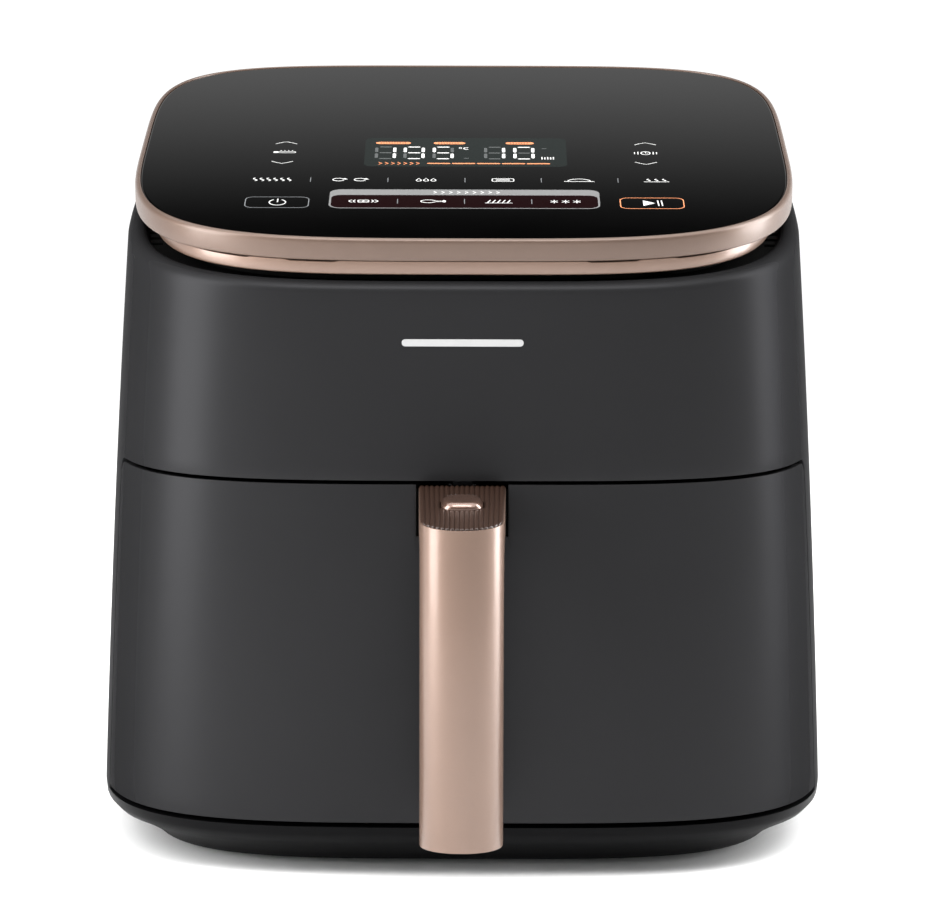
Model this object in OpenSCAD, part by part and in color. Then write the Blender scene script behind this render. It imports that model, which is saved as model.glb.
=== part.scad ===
// Basket-drawer air fryer, millimetres, +Z up, front of the appliance towards -Y.
// The origin is on the worktop, under the centre of the whole appliance.

/* [Housing] */
// Width of the housing at its widest, just above the base
body_w = 300; // [296:1:302]
// Depth of the housing as a share of its width
depth_share = 0.993; // [0.985:0.001:0.995]
// Squareness of the housing's outline, where 2 is an ellipse
body_n = 3.9; // [3.7:0.1:4.1]
// Height of the seam between the base and the housing
base_top = 20.8; // [20.4:0.1:21.4]
// Height of the seam above the drawer
seam_z = 159.6; // [159:0.1:161]
// Wall of the housing
shell_wall = 2.6; // [2.2:0.1:2.8]
// Depth at which the drawer's seam runs down each side
side_seam_y = -85; // [-86:0.5:-84]
// How far the rear vent stands proud of the housing's centre plane
rear_y = 160; // [156:1:164]

/* [Lid] */
// Height of the middle of the glass
lid_z = 278.8; // [276:0.2:280]
// Forward tilt of the lid
lid_tilt = 9.57; // [9:0.01:10]
// Half width of the lid
lid_a = 136.2; // [134:0.1:138]
// Half depth of the lid
lid_b = 139.6; // [138:0.1:141]
// Height of the upper trim ring
ring_h = 9; // [8:0.5:9]
// Height of the lower trim band
band_h = 5.6; // [5:0.1:6]

/* [Handle] */
// Width of the handle
handle_w = 32.5; // [31:0.5:34]
// How far forward the handle reaches
handle_y = -206; // [-208:1:-204]
// Height of the handle's lower end
handle_z = 25.1; // [24:0.1:28]
// Number of ribs on the handle's cap
rib_count = 17; // [12:1:18]

/* [Drawer] */
// Half width of the basket's wall
basket_a = 112; // [111:0.5:112.5]
// Front of the basket's wall
basket_front = -112; // [-113:0.5:-111]
// Back of the basket's wall
basket_back = 106; // [104:0.5:106]
// Underside of the basket
basket_z = 30; // [29:0.5:31]
// Top of the basket's rim
basket_rim_z = 143.1; // [142.5:0.1:143.5]
// Radius of the basket's upright corners
basket_r = 38; // [30:1:42]

/* [Fan and heater] */
// Depth of the fan's axis
fan_y = 6; // [5:0.5:7]
// Radius of the hot-air fan
fan_r = 50; // [44:1:52]
// Number of blades on the hot-air fan
blade_count = 10; // [8:1:12]
// Radius of the heating element's tube
heater_tube_r = 3.2; // [3:0.1:3.5]

/* [Hidden] */
$fn = 64;
eps = 0.01;
big = 400;
handle_x = handle_w / 2;
// The middle of the appliance's whole depth lies here in the housing's own frame
mid_y = (rear_y + handle_y) / 2;
seam_gap = 0.8;
base_gap = 2;
front_wall = 3;
glass_t = 3;
tray_drop = 20;
rim_z = lid_z - tray_drop;
side_lean = 0.033;
side_curve = 0.00007;
liner_a = 120.2;
liner_back = 109.5;
liner_front = -80.5;
liner_z = 25;
liner_top = 172;
sheet_t = 1.2;
dome_r = 84;
dome_top = 204;
shaft_r = 4;
running_gap = 0.05;
pivot_y = -193;
pivot_z = 144.4;
pin_r = 1.5;
button_y = -170;
button_press = 1.6;
tooth_y = -120.2;
catch_z = 152.6;
lever_slope = 0.0758;
spring_y = -131;
screw_x = 12;
plate_z = 42;
plate_t = 1.5;
gland_x = 80;
gland_z = 45;
gland_bore_r = 3.6;
ring_points = 96;

// ---------------------------------------------------------------- outlines

function signed_pow(v, p) = sign(v) * pow(abs(v), p);

// A superellipse whose front and back halves have their own depth and squareness
function outline(a, front, back, n_front, n_back, count = ring_points) =
    [for (i = [0 : count - 1])
        let (t = 360 * i / count,
            e = 2 / (sin(t) < 0 ? n_front : n_back),
            depth = sin(t) < 0 ? front : back)
        [a * signed_pow(cos(t), e), depth * signed_pow(sin(t), e)]];

function lid_outline(inset) = outline(lid_a - inset, lid_b - inset, lid_b - inset, 3.65, 4.8);

// The lower band meets the ring at the front and draws in at the sides and back
function band_outline(inset) = outline(lid_a - 8.2 - inset, lid_b - inset, lid_b - 8 - inset, 4, 4.4);

function tray_outline(inset) = outline(120 - inset, 128 - inset, 120 - inset, 4, 4.4);

// Half width of the housing at a height
function half_w(z) =
    body_w / 2 - side_lean * (z - base_top) - side_curve * pow(z - base_top, 2);

function at_height(points, z) = [for (p = points) [p[0], p[1], z]];

function body_outline(z, inset) =
    outline(half_w(z) - inset, depth_share * half_w(z) - inset,
        depth_share * half_w(z) - inset, body_n, body_n);

// A ring of the housing a share of the way up from the base seam to the sloping rim
function body_ring(share, inset, lift = 0) =
    [for (i = [0 : ring_points - 1])
        let (t = 360 * i / ring_points,
            cx = signed_pow(cos(t), 2 / body_n),
            cy = signed_pow(sin(t), 2 / body_n),
            top = rim_z + tan(lid_tilt) * depth_share * half_w(rim_z) * cy,
            z = base_top + share * (top - base_top))
        [(half_w(z) - inset) * cx, (depth_share * half_w(z) - inset) * cy, z + lift]];

// ---------------------------------------------------------------- building blocks

// A solid through a stack of rings, closed at both ends
module loft(rings) {
    n = len(rings[0]);
    last = len(rings) - 1;
    sides = [for (r = [0 : last - 1], i = [0 : n - 1])
        let (a = r * n + i, b = r * n + (i + 1) % n, c = b + n, d = a + n)
        each [[a, d, c], [a, c, b]]];
    polyhedron([for (r = rings) each r],
        concat(sides, [[for (i = [0 : n - 1]) i]], [[for (i = [n - 1 : -1 : 0]) last * n + i]]));
}

// A hollow wall through a closed loop of rings, up the outside and down the inside
module loop_loft(rings) {
    n = len(rings[0]);
    m = len(rings);
    polyhedron([for (r = rings) each r],
        [for (r = [0 : m - 1], i = [0 : n - 1])
            let (q = (r + 1) % m, a = r * n + i, b = r * n + (i + 1) % n,
                c = q * n + (i + 1) % n, d = q * n + i)
            each [[a, d, c], [a, c, b]]]);
}

function unit(v) = v / norm(v);

// A round tube along a route, with its ends closed
module tube(route, r, sides = 8) {
    m = len(route);
    rings = [for (k = [0 : m - 1])
        let (dir = unit(route[min(k + 1, m - 1)] - route[max(k - 1, 0)]),
            ref = abs(dir[2]) > 0.9 ? [1, 0, 0] : [0, 0, 1],
            u = unit(cross(ref, dir)), v = cross(dir, u))
        [for (i = [0 : sides - 1])
            route[k] + r * (cos(360 * i / sides) * u + sin(360 * i / sides) * v)]];
    loft(rings);
}

// A rectangle with round corners, exact because it is squares and circles
module round_rect(x0, x1, y0, y1, r) {
    translate([x0 + r, y0]) square([x1 - x0 - 2 * r, y1 - y0]);
    translate([x0, y0 + r]) square([x1 - x0, y1 - y0 - 2 * r]);
    for (x = [x0 + r, x1 - r], y = [y0 + r, y1 - r]) translate([x, y]) circle(r);
}

module box(lo, hi) {
    translate(lo) cube(hi - lo);
}

// Children drawn flat are extruded downwards from a depth below the glass, in the lid's plane
module under_lid(drop, height) {
    translate([0, 0, lid_z]) rotate([lid_tilt, 0, 0]) translate([0, 0, -drop - height])
        linear_extrude(height) children();
}

// An extrusion along X of a shape drawn with Y across and Z up
module across(half) {
    translate([-half, 0, 0]) rotate([90, 0, 90]) linear_extrude(2 * half) children();
}

// The whole volume inside the housing's skin between two heights
module body_solid(z0, z1, inset, steps = 4) {
    loft([for (k = [0 : steps]) let (z = z0 + (z1 - z0) * k / steps)
        at_height(body_outline(z, inset), z)]);
}

// The part of the front that the drawer fills, as a shape across the housing
module drawer_side(gap) {
    corner = 6 - gap;
    difference() {
        translate([-250, 0]) square([250 + side_seam_y - gap, seam_z + seam_gap - gap]);
        translate([side_seam_y - gap - corner, seam_z + seam_gap - gap - corner])
            difference() {
                square(corner + 1);
                circle(corner);
            }
    }
}

// Everything is drawn about the housing's own axis, then moved so that the origin is central
module placed() {
    translate([0, -mid_y, 0]) children();
}

// A screw with a round head, pointing down from the origin
module screw(r, length, head_r, head_h) {
    translate([0, 0, -length]) cylinder(r = r, h = length);
    difference() {
        cylinder(r = head_r, h = head_h);
        for (a = [0, 90]) rotate(a) translate([-head_r * 0.6, -0.4, head_h / 2])
            cube([head_r * 1.2, 0.8, head_h]);
    }
}

// ---------------------------------------------------------------- housing

module body_shell() {
    outer = [for (k = [0 : 6]) body_ring(k / 6, 0)];
    lip = [body_ring(1, 0.8, 1.6), body_ring(1, 2.4, 2.6), body_ring(1, 5, 3),
        body_ring(1, 8, 2.4), body_ring(1, 8, 0.8), body_ring(1, shell_wall + 2, 0)];
    inner = [for (k = [5 : -1 : 0]) body_ring(k / 6, shell_wall)];
    color("#3a3a3b") placed() difference() {
        loop_loft(concat(outer, lip, inner));
        across(big / 2) drawer_side(0);
        box([-58, 120, 104], [58, 200, 174]);
        translate([gland_x, 120, gland_z]) rotate([-90, 0, 0]) cylinder(r = 7, h = 60);
    }
}

// The black base turns in towards its foot, so the housing seems to float
module base_tray() {
    profile = [[3, 19.7], [4.2, 18.6], [7, 15.2], [11, 9.2], [14.5, 2.9], [17.5, 0.3], [base_top, 0]];
    half = half_w(base_top);
    color("#121212") placed() difference() {
        loft([for (p = profile) at_height(outline(half - p[1], depth_share * half - p[1],
            depth_share * half - p[1], body_n, body_n), p[0])]);
        difference() {
            loft([at_height(outline(half - 26, half - 26, half - 26, 4, 4), 5.4),
                at_height(outline(half - 7, half - 7, half - 7, 4, 4), 18.4)]);
            for (p = base_screw_places()) translate([p[0], p[1], 0]) cylinder(r = 5.5, h = 30);
        }
        translate([0, 0, 18]) linear_extrude(5) round_rect(-128, 128, -76, 122, 30);
        for (p = base_screw_places()) translate([p[0], p[1], 0]) {
            cylinder(r = 2, h = 16.5);
            cylinder(r = 4.4, h = 5);
        }
        for (x = [-45 : 10 : 45], y = [20, 50]) box([x - 2, y - 10, 2], [x + 2, y + 10, 8]);
    }
    // A rib along the middle of the floor, as high as the rim
    color("#121212") placed() box([-1.2, -60, 5], [1.2, 90, base_top]);
}

function foot_places() = [for (x = [-96, 96], y = [-92, 96]) [x, y]];

module feet() {
    color("#1b1b1b") placed() for (p = foot_places())
        translate([p[0], p[1], 0]) cylinder(r1 = 9, r2 = 10, h = 3);
}

function base_screw_places() = [for (x = [-70, 70], y = [-104, 104]) [x, y]];

module base_screws() {
    color("silver") placed() for (p = base_screw_places())
        translate([p[0], p[1], 5]) mirror([0, 0, 1]) screw(2, 11, 3.8, 0.9);
}

// The black frame seen round the mouth of the chamber when the drawer is out
module cavity_frame() {
    color("#151515") placed() difference() {
        union() {
            intersection() {
                body_solid(base_top + 0.3, liner_top, shell_wall + 0.3);
                union() {
                    box([-big / 2, side_seam_y + 1, 0], [big / 2, liner_front, liner_top]);
                    box([-big / 2, -big, seam_z + 1], [big / 2, liner_front, seam_z + 3.4]);
                }
            }
        }
        box([-liner_a + sheet_t, -90, 27], [liner_a - sheet_t, 0, seam_z + 1]);
    }
}

module chamber_liner() {
    color("#4a4a4c") placed() difference() {
        translate([0, 0, liner_z]) linear_extrude(liner_top - liner_z)
            round_rect(-liner_a, liner_a, -130, liner_back, 24);
        translate([0, 0, liner_z + sheet_t]) linear_extrude(liner_top)
            round_rect(sheet_t - liner_a, liner_a - sheet_t, sheet_t - 130,
                liner_back - sheet_t, 24 - sheet_t);
        box([-big, -big, 0], [big, liner_front, big]);
        box([-32, 90, 122], [32, 130, 162]);
    }
}

// The basket's rim slides on this rail, which is fixed to the liner's wall
module guide_rail(side) {
    color("#2a2a2a") placed() scale([side, 1, 1]) difference() {
        box([basket_a + 1.2, liner_front + 2, 134], [liner_a - sheet_t, 88, basket_rim_z - 1.9]);
        for (y = [-60 : 30 : 70]) box([basket_a + 3.4, y, 130], [liner_a, y + 22, 139]);
    }
}

module heat_shield() {
    color("#b9bbbe") placed() difference() {
        union() {
            translate([0, 0, liner_top]) linear_extrude(sheet_t)
                round_rect(-liner_a, liner_a, liner_front, liner_back, 20);
            translate([0, fan_y, liner_top]) cylinder(r = dome_r, h = dome_top - liner_top + sheet_t);
        }
        translate([0, fan_y, liner_top - 1])
            cylinder(r = dome_r - sheet_t, h = dome_top - liner_top + 1);
        translate([0, fan_y, dome_top - 1]) cylinder(r = 7, h = 4);
        for (p = bush_places()) translate([p[0], fan_y + p[1], dome_top - 1]) cylinder(r = 5, h = 4);
        translate([-50, fan_y - 20, dome_top - 1]) cylinder(r = 2.5, h = 4);
    }
}

function at_turn(angle, r, z) = [r * cos(angle), r * sin(angle), z];

function bush_places() = [for (r = [74, 60]) [r * cos(97), r * sin(97)]];

// A sheathed element with two turns, whose ends rise through the heat shield
module heater_coil() {
    z = 183;
    turn = [for (a = [97 : 5 : 437]) a];
    back = [for (a = [437 : -5 : 97]) a];
    color("#6d6a66") placed() translate([0, fan_y, 0])
        tube(concat([at_turn(97, 74, z + 32), at_turn(97, 74, z + 2)],
            [for (a = turn) at_turn(a, 74, z)], [for (a = back) at_turn(a, 60, z)],
            [at_turn(97, 60, z + 2), at_turn(97, 60, z + 32)]), heater_tube_r);
}

// Ceramic bushes keep the live ends of the element clear of the heat shield
module heater_bushes() {
    color("#e8e2d4") placed() translate([0, fan_y, 0]) for (r = [74, 60])
        rotate([0, 0, 97]) translate([r, 0, 0]) difference() {
            union() {
                translate([0, 0, dome_top + sheet_t]) cylinder(r = 6.4, h = 3);
                translate([0, 0, dome_top - 2]) cylinder(r = 4.6, h = 4);
            }
            cylinder(r = heater_tube_r + 0.1, h = big);
        }
}

// A wire guard below the element keeps hands and food off it
module heater_guard() {
    z = 169.4;
    color("#c4c6c8") placed() translate([0, fan_y, z]) {
        for (r = [24, 42, 60, 78]) rotate_extrude() translate([r, 0]) circle(1.1, $fn = 24);
        for (a = [0 : 60 : 120]) rotate([0, 0, a + 15]) translate([-81, 0, 1.6])
            rotate([0, 90, 0]) cylinder(r = 1.1, h = 162, $fn = 24);
    }
}

module motor_bracket() {
    color("#a7a9ac") placed() translate([0, fan_y, 0]) difference() {
        union() {
            translate([0, 0, 220]) cylinder(r = 40, h = 2);
            for (a = [45 : 90 : 315]) rotate([0, 0, a]) {
                box([30, -6, 220], [68, 6, 222]);
                box([66, -6, dome_top + sheet_t], [68, 6, 222]);
                box([66, -6, dome_top + sheet_t], [78, 6, dome_top + sheet_t + 1.6]);
            }
        }
        translate([0, 0, 210]) cylinder(r = 12, h = 20);
        for (a = [0 : 90 : 270]) rotate([0, 0, a]) translate([27, 0, 210]) cylinder(r = 2.05, h = 20);
    }
}

module fan_motor() {
    color("#8f9194") placed() translate([0, fan_y, 0]) difference() {
        union() {
            translate([0, 0, 222]) cylinder(r = 34, h = 3);
            translate([0, 0, 225]) cylinder(r = 32, h = 17);
            translate([0, 0, 242]) cylinder(r = 34, h = 3);
            translate([0, 0, 245]) cylinder(r = 9, h = 3);
        }
        cylinder(r = shaft_r + running_gap, h = big);
        for (a = [0 : 90 : 270]) rotate([0, 0, a]) translate([27, 0, 210]) cylinder(r = 2.05, h = 20);
        for (a = [0 : 30 : 330]) rotate([0, 0, a]) box([29, -2, 228], [40, 2, 239]);
    }
}

module motor_screws() {
    color("silver") placed() translate([0, fan_y, 0]) for (a = [0 : 90 : 270])
        rotate([0, 0, a]) translate([27, 0, 220]) mirror([0, 0, 1]) screw(2, 9, 3.6, 1.6);
}

module exhaust_duct() {
    color("#2b2b2b") placed() difference() {
        box([-34, liner_back, 120], [34, 138.6, 164]);
        box([-32.4, 100, 121.6], [32.4, 150, 162.4]);
    }
}

// The louvred outlet stands off the back, so that the hot air always has a way out
module rear_vent() {
    color("#161616") placed() difference() {
        union() {
            difference() {
                union() {
                    vent_block(64, 41, 130, rear_y - 3, 16);
                    vent_block(60, 37, 140, rear_y, 13);
                }
                body_solid(90, 190, -0.05);
            }
            box([-57.6, 139, 104.4], [57.6, 149, 173.6]);
        }
        vent_block(54, 31, 100, rear_y - 2.6, 8);
        for (z = [111 : 7 : 167]) box([-50, 100, z], [50, rear_y + 5, z + 3.6]);
    }
    // upright rib behind the louvres
    color("#161616") placed() box([-1.6, 143, 106], [1.6, rear_y - 1, 172]);
}

// A block with round upright edges, standing off the back
module vent_block(half_x, half_z, y0, y1, r) {
    translate([0, y1, 139]) rotate([90, 0, 0]) linear_extrude(y1 - y0)
        round_rect(-half_x, half_x, -half_z, half_z, r);
}

module power_board() {
    color("#1e6b3a") placed() {
        difference() {
            box([-62, 118, 38], [62, 119.6, 108]);
            for (x = [-58, 58], z = [42, 104]) translate([x, 110, z]) rotate([-90, 0, 0])
                cylinder(r = 1.7, h = 20);
        }
        box([-46, 119.6, 52], [-16, 137, 82]);
        box([0, 119.6, 60], [19, 134, 76]);
        box([24, 119.6, 60], [43, 134, 76]);
        translate([6, 119.6, 92]) rotate([-90, 0, 0]) cylinder(r = 6, h = 16);
        translate([22, 119.6, 92]) rotate([-90, 0, 0]) cylinder(r = 6, h = 16);
        box([-44, 119.6, 92], [-20, 127, 102]);
        box([30, 119.6, 42], [54, 128, 52]);
    }
}

// A snap-disc cut-out and its bracket, on top of the heat shield
module thermal_cutout() {
    color("#d8d2c2") placed() translate([57, fan_y - 34, dome_top + sheet_t]) {
        cylinder(r = 9, h = 4);
        translate([0, 0, 4]) cylinder(r = 6, h = 6);
        box([-14, -3, 0], [14, 3, 1.2]);
        box([-8, -1, 9], [-5.4, 1, 16]);
        box([5.4, -1, 9], [8, 1, 16]);
    }
}

module temp_probe() {
    color("#c9cbce") placed() translate([-50, fan_y - 20, 0]) {
        translate([0, 0, 186]) cylinder(r = 2.4, h = 26);
        translate([0, 0, dome_top + sheet_t]) cylinder(r = 5, h = 3, $fn = 6);
        translate([0, 0, 186]) sphere(2.4);
    }
}

module drawer_sensor() {
    color("#dcdcdc") placed() box([54, -136, seam_z + 3.4], [66, -124, seam_z + 9.4]);
}

// ---------------------------------------------------------------- lid

// The recessed deck lets air in all round, under the edge of the lid
module intake_deck() {
    color("#0e0e0e") placed() difference() {
        intersection() {
            loft([for (s = [-9, 4]) body_ring(1, shell_wall + 2.4, s)]);
            under_lid(tray_drop + 0.8, 2.2) square(2 * big, center = true);
        }
        translate([0, 0, lid_z]) rotate([lid_tilt, 0, 0]) translate([0, 0, -tray_drop - 20])
            linear_extrude(40) polygon(tray_outline(14));
        for (side = [0, 180]) rotate([0, 0, side]) for (y = [-72 : 8 : 72])
            box([122.5, y - 1.6, 200], [129, y + 1.6, 320]);
        for (side = [-1, 1]) for (x = [-64 : 8 : 64])
            box([x - 1.6, side * 126.5 - 2.5, 200], [x + 1.6, side * 126.5 + 2.5, 320]);
        for (p = deck_screw_places()) translate([0, 0, lid_z]) rotate([lid_tilt, 0, 0])
            translate([p[0], p[1], -tray_drop - 8]) cylinder(r = 1.85, h = 10);
    }
}

// The screws go up through the deck's ledge into the tray's floor
function deck_screw_places() = [for (x = [-84, 84], y = [-110, 100]) [x, y]];

module deck_screws() {
    color("silver") placed() for (p = deck_screw_places())
        translate([0, 0, lid_z]) rotate([lid_tilt, 0, 0]) translate([p[0], p[1], -tray_drop - 3])
            mirror([0, 0, 1]) screw(1.8, 5, 3.4, 1.4);
}

// A shallow tray carries the glass and the boards
module lid_tray() {
    color("#101010") placed() difference() {
        union() {
            under_lid(5.2, tray_drop - 5.2) difference() {
                polygon(tray_outline(0));
                polygon(tray_outline(2.2));
            }
            under_lid(tray_drop - 2, 2) polygon(tray_outline(1));
            under_lid(5.2, 1.8) difference() {
                polygon(lid_outline(2.5));
                polygon(tray_outline(1));
            }
            under_lid(ring_h + 0.4, 1.6) difference() {
                polygon(band_outline(2.4));
                polygon(tray_outline(1));
            }
        }
        for (p = deck_screw_places()) translate([0, 0, lid_z]) rotate([lid_tilt, 0, 0])
            translate([p[0], p[1], -tray_drop - 5]) cylinder(r = 1.8, h = 10);
        translate([0, 0, lid_z]) rotate([lid_tilt, 0, 0]) translate([0, 60, -tray_drop - 5])
            cylinder(r = 8, h = 10);
    }
}

// The upper ring frames the glass and carries it on an inner ledge
module lid_trim_ring() {
    color("#b08d7c") placed() {
        under_lid(0, ring_h) difference() {
            polygon(lid_outline(0));
            polygon(lid_outline(2.2));
        }
        under_lid(glass_t + 0.4, 1.6) difference() {
            polygon(lid_outline(1.2));
            polygon(lid_outline(7));
        }
    }
}

// The lower band has narrow slits along its top edge
module lid_trim_band() {
    color("#b08d7c") placed() difference() {
        under_lid(ring_h + eps, band_h) difference() {
            polygon(band_outline(0));
            polygon(band_outline(2.4));
        }
        translate([0, 0, lid_z]) rotate([lid_tilt, 0, 0]) translate([0, 0, -ring_h - 0.9])
            for (side = [-1, 1]) {
                scale([side, 1, 1]) box([53, -150, 0], [73, -120, 2]);
                scale([side, 1, 1]) box([90, -150, 0], [118, -90, 2]);
            }
    }
}

module touch_glass() {
    color("#070708") placed() under_lid(0.4, glass_t) polygon(lid_outline(2.4));
}

module display_module() {
    color("#202624") placed() under_lid(glass_t + 0.4, 4.4) translate([-44, -32]) square([88, 42]);
}

module touch_board() {
    color("#1d5a34") placed() {
        under_lid(8, 1.6) round_rect(-98, 98, -100, 26, 6);
        under_lid(9.6, 5) translate([-70, -20]) square([24, 16]);
        under_lid(9.6, 3) translate([20, -80]) square([40, 12]);
        under_lid(9.6, 4) translate([-20, -60]) square([12, 30]);
    }
}

// ---------------------------------------------------------------- rear entry and wiring

module cord_gland() {
    color("#0d0d0d") placed() difference() {
        union() {
            difference() {
                translate([gland_x, 138, gland_z]) rotate([-90, 0, 0]) cylinder(r = 9.5, h = 12);
                body_solid(30, 60, -0.05, 2);
            }
            translate([gland_x, 134, gland_z]) rotate([-90, 0, 0]) cylinder(r = 6.9, h = 15);
        }
        translate([gland_x, 130, gland_z]) rotate([-90, 0, 0]) cylinder(r = gland_bore_r, h = 30);
    }
}

// Leads from the power board to the element, the motor, and the lid
module wiring() {
    color("#b03a2e") placed() {
        tube([[-31, 128, 102.2], [-31, 128, 112], [-42, 126, 130], [-46, 116, 160], [-46, 104, 186],
            [-34, 98, 206], [-18, 91, 217], [-9, 80.6, 219], [-9.1, 79.5, 215.2]], 1.4);
        tube([[-24, 128, 102.2], [-24, 129, 111], [-48, 130, 130], [-52, 122, 160], [-52, 108, 190],
            [-40, 92, 214], [-20, 72, 220], [-8, 65, 219], [-7.3, 65.6, 215.2]], 1.4);
        tube([[42, 128, 52.2], [48, 132, 70], [54, 131, 100], [58, 122, 140], [56, 112, 180],
            [46, 88, 218], [34, 60, 238], [28, 42, 234], [25, 34, 232], [23.4, 30.4, 232]], 1.4);
    }
}

// ---------------------------------------------------------------- fan rotor

module motor_shaft() {
    color("#d0d2d5") placed() translate([0, fan_y, 178]) cylinder(r = shaft_r, h = 74);
}

// Bent blades hang from a disc and drive the air outwards and down
module hot_fan() {
    color("#c8cacc") placed() translate([0, fan_y, 0]) difference() {
        union() {
            translate([0, 0, 198]) cylinder(r = fan_r, h = 1.2);
            translate([0, 0, 187]) cylinder(r = 9, h = 11);
            for (k = [0 : blade_count - 1]) rotate([0, 0, 360 * k / blade_count])
                translate([30, 0, 186]) rotate([0, 0, 24]) cube([18, 1.2, 12.4]);
        }
        translate([0, 0, 180]) cylinder(r = shaft_r, h = 30);
    }
}

// A plastic fan on the same shaft cools the motor and the boards
module cooling_fan() {
    color("#2e2e30") placed() translate([0, fan_y, 0]) difference() {
        union() {
            translate([0, 0, 207.4]) cylinder(r = 15, h = 9);
            for (a = [0 : 40 : 320]) rotate([0, 0, a]) translate([13, 0, 212])
                rotate([32, 0, 0]) translate([0, -6, -0.7]) cube([34, 12, 1.4]);
        }
        translate([0, 0, 200]) cylinder(r = shaft_r, h = 30);
    }
}

module fan_nut() {
    color("#bfc1c4") placed() translate([0, fan_y, 181]) difference() {
        cylinder(r = 7.5, h = 6, $fn = 6);
        translate([0, 0, -1]) cylinder(r = shaft_r, h = 8);
    }
}

// ---------------------------------------------------------------- drawer

// The outer skin of the drawer follows the housing's outline
module drawer_front() {
    z0 = base_top + base_gap;
    z1 = seam_z - seam_gap;
    rings = [for (k = [0 : 5]) let (z = z0 + (z1 - z0) * k / 5) [z, 0]];
    back = [for (k = [5 : -1 : 0]) let (z = z0 + (z1 - z0) * k / 5) [z, front_wall]];
    color("#3a3a3b") placed() difference() {
        intersection() {
            loop_loft([for (r = concat(rings, back)) at_height(body_outline(r[0], r[1]), r[0])]);
            across(big / 2) drawer_side(seam_gap);
        }
        box([-handle_x - 2, -180, 138], [handle_x + 2, -100, 180]);
    }
}

// The moulded frame ties the skin, the handle and the basket together, and is open in front
module drawer_frame() {
    color("#171717") placed() difference() {
        union() {
            intersection() {
                body_solid(base_top + 4.6, seam_z - 3.1, front_wall + 0.2);
                box([-big, -big, 0], [big, side_seam_y - 1.5, big]);
            }
            box([-16, -141, 139.9], [16, -138, 155.6]);
        }
        basket_prism(0.2, basket_z - 0.2, basket_rim_z + 0.4);
        basket_prism(3.4, basket_rim_z - 1.7, 190);
        difference() {
            box([-160, -160, base_top + 7.2], [160, side_seam_y - 4, seam_z - 5.6]);
            basket_prism(5.8, 0, big);
            box([-19, -160, 128], [19, -116, big]);
            for (x = [-78, -40, 37.6, 75.6]) box([x, -160, 0], [x + 2.4, -100, big]);
            box([51, -138, 147], [69, -125, big]);
        }
        box([-5.5, -200, 141.2], [5.5, -100, 200]);
        translate([0, spring_y, 138.4]) cylinder(r = 4, h = 10);
        box([-9.2, -126.4, catch_z - 0.5], [9.2, -100, 200]);
        box([53.9, -134.1, 149.9], [66.1, -127.9, 180]);
        for (x = [-screw_x, screw_x]) translate([x, -200, 148.5]) rotate([-90, 0, 0]) {
            cylinder(r = 1.3, h = 100);
            translate([0, 0, 74]) cylinder(r = 2.6, h = 20);
        }
    }
}

// The basket's outline, grown outwards and left open towards the back
module basket_prism(grow, z0, z1) {
    translate([0, 0, z0]) linear_extrude(z1 - z0)
        round_rect(-basket_a - grow, basket_a + grow, basket_front - grow, 200, basket_r);
}

// The basket is a deep drawn tub with a turned-out rim
module basket() {
    color("#2c2c2e") placed() difference() {
        union() {
            translate([0, 0, basket_z]) linear_extrude(basket_rim_z - basket_z)
                round_rect(-basket_a, basket_a, basket_front, basket_back, basket_r);
            translate([0, 0, basket_rim_z - 1.5]) linear_extrude(1.5)
                round_rect(-basket_a - 3.2, basket_a + 3.2, basket_front - 3.2,
                    basket_back + 2.2, basket_r);
        }
        translate([0, 0, basket_z + 1.5]) linear_extrude(big)
            round_rect(1.5 - basket_a, basket_a - 1.5, basket_front + 1.5,
                basket_back - 1.5, basket_r - 1.5);
    }
}

// A steel tongue on the basket's rim, with a window for the latch's tooth
module basket_catch() {
    color("#c2c4c7") placed() difference() {
        union() {
            box([-8.5, basket_front - 1.2, basket_rim_z], [8.5, basket_front, catch_z + 1.2]);
            box([-8.5, -125.5, catch_z], [8.5, basket_front, catch_z + 1.2]);
        }
        box([-5, -120.9, 140], [5, -115.9, 160]);
    }
}

// A soft seal on the drawer closes the mouth of the chamber
module drawer_seal() {
    color("#3b3b3b") placed() difference() {
        box([-126, side_seam_y - 1.5, 27.5], [126, side_seam_y + 0.6, 140]);
        box([-122, -100, 29.4], [122, 0, 200]);
    }
}

// ---------------------------------------------------------------- handle

cap_back = [-140, 158.4];
cap_front = [-204, 152.95];
cap_angle = atan((cap_back[1] - cap_front[1]) / (cap_back[0] - cap_front[0]));

// The grip's rounded front, seen from above
function grip_outline(inset) = [for (t = [180 : 7.5 : 360])
    [(handle_x - inset) * signed_pow(cos(t), 2 / 2.1),
        handle_y + 15 + (15 - inset) * signed_pow(sin(t), 2 / 2.1)]];

// The neck widens a little from the grip to the drawer
module grip_plan(inset, back) {
    polygon(concat(grip_outline(inset), [[handle_x + 1 - inset, -140], [handle_x + 1 - inset, back],
        [inset - handle_x - 1, back], [inset - handle_x - 1, -140]]));
}

// The height of the cap's surface at a depth
function cap_z(y) = cap_back[1] + (y - cap_back[0]) * tan(cap_angle);

// The key stands square to the cap, which slopes down towards the front
module on_cap() {
    translate([0, button_y, cap_z(button_y)]) rotate([cap_angle, 0, 0]) children();
}

module key_plan(grow) {
    polygon(outline(8.3 + grow, 8.5 + grow, 8.5 + grow, 3, 3, 48));
}

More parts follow.
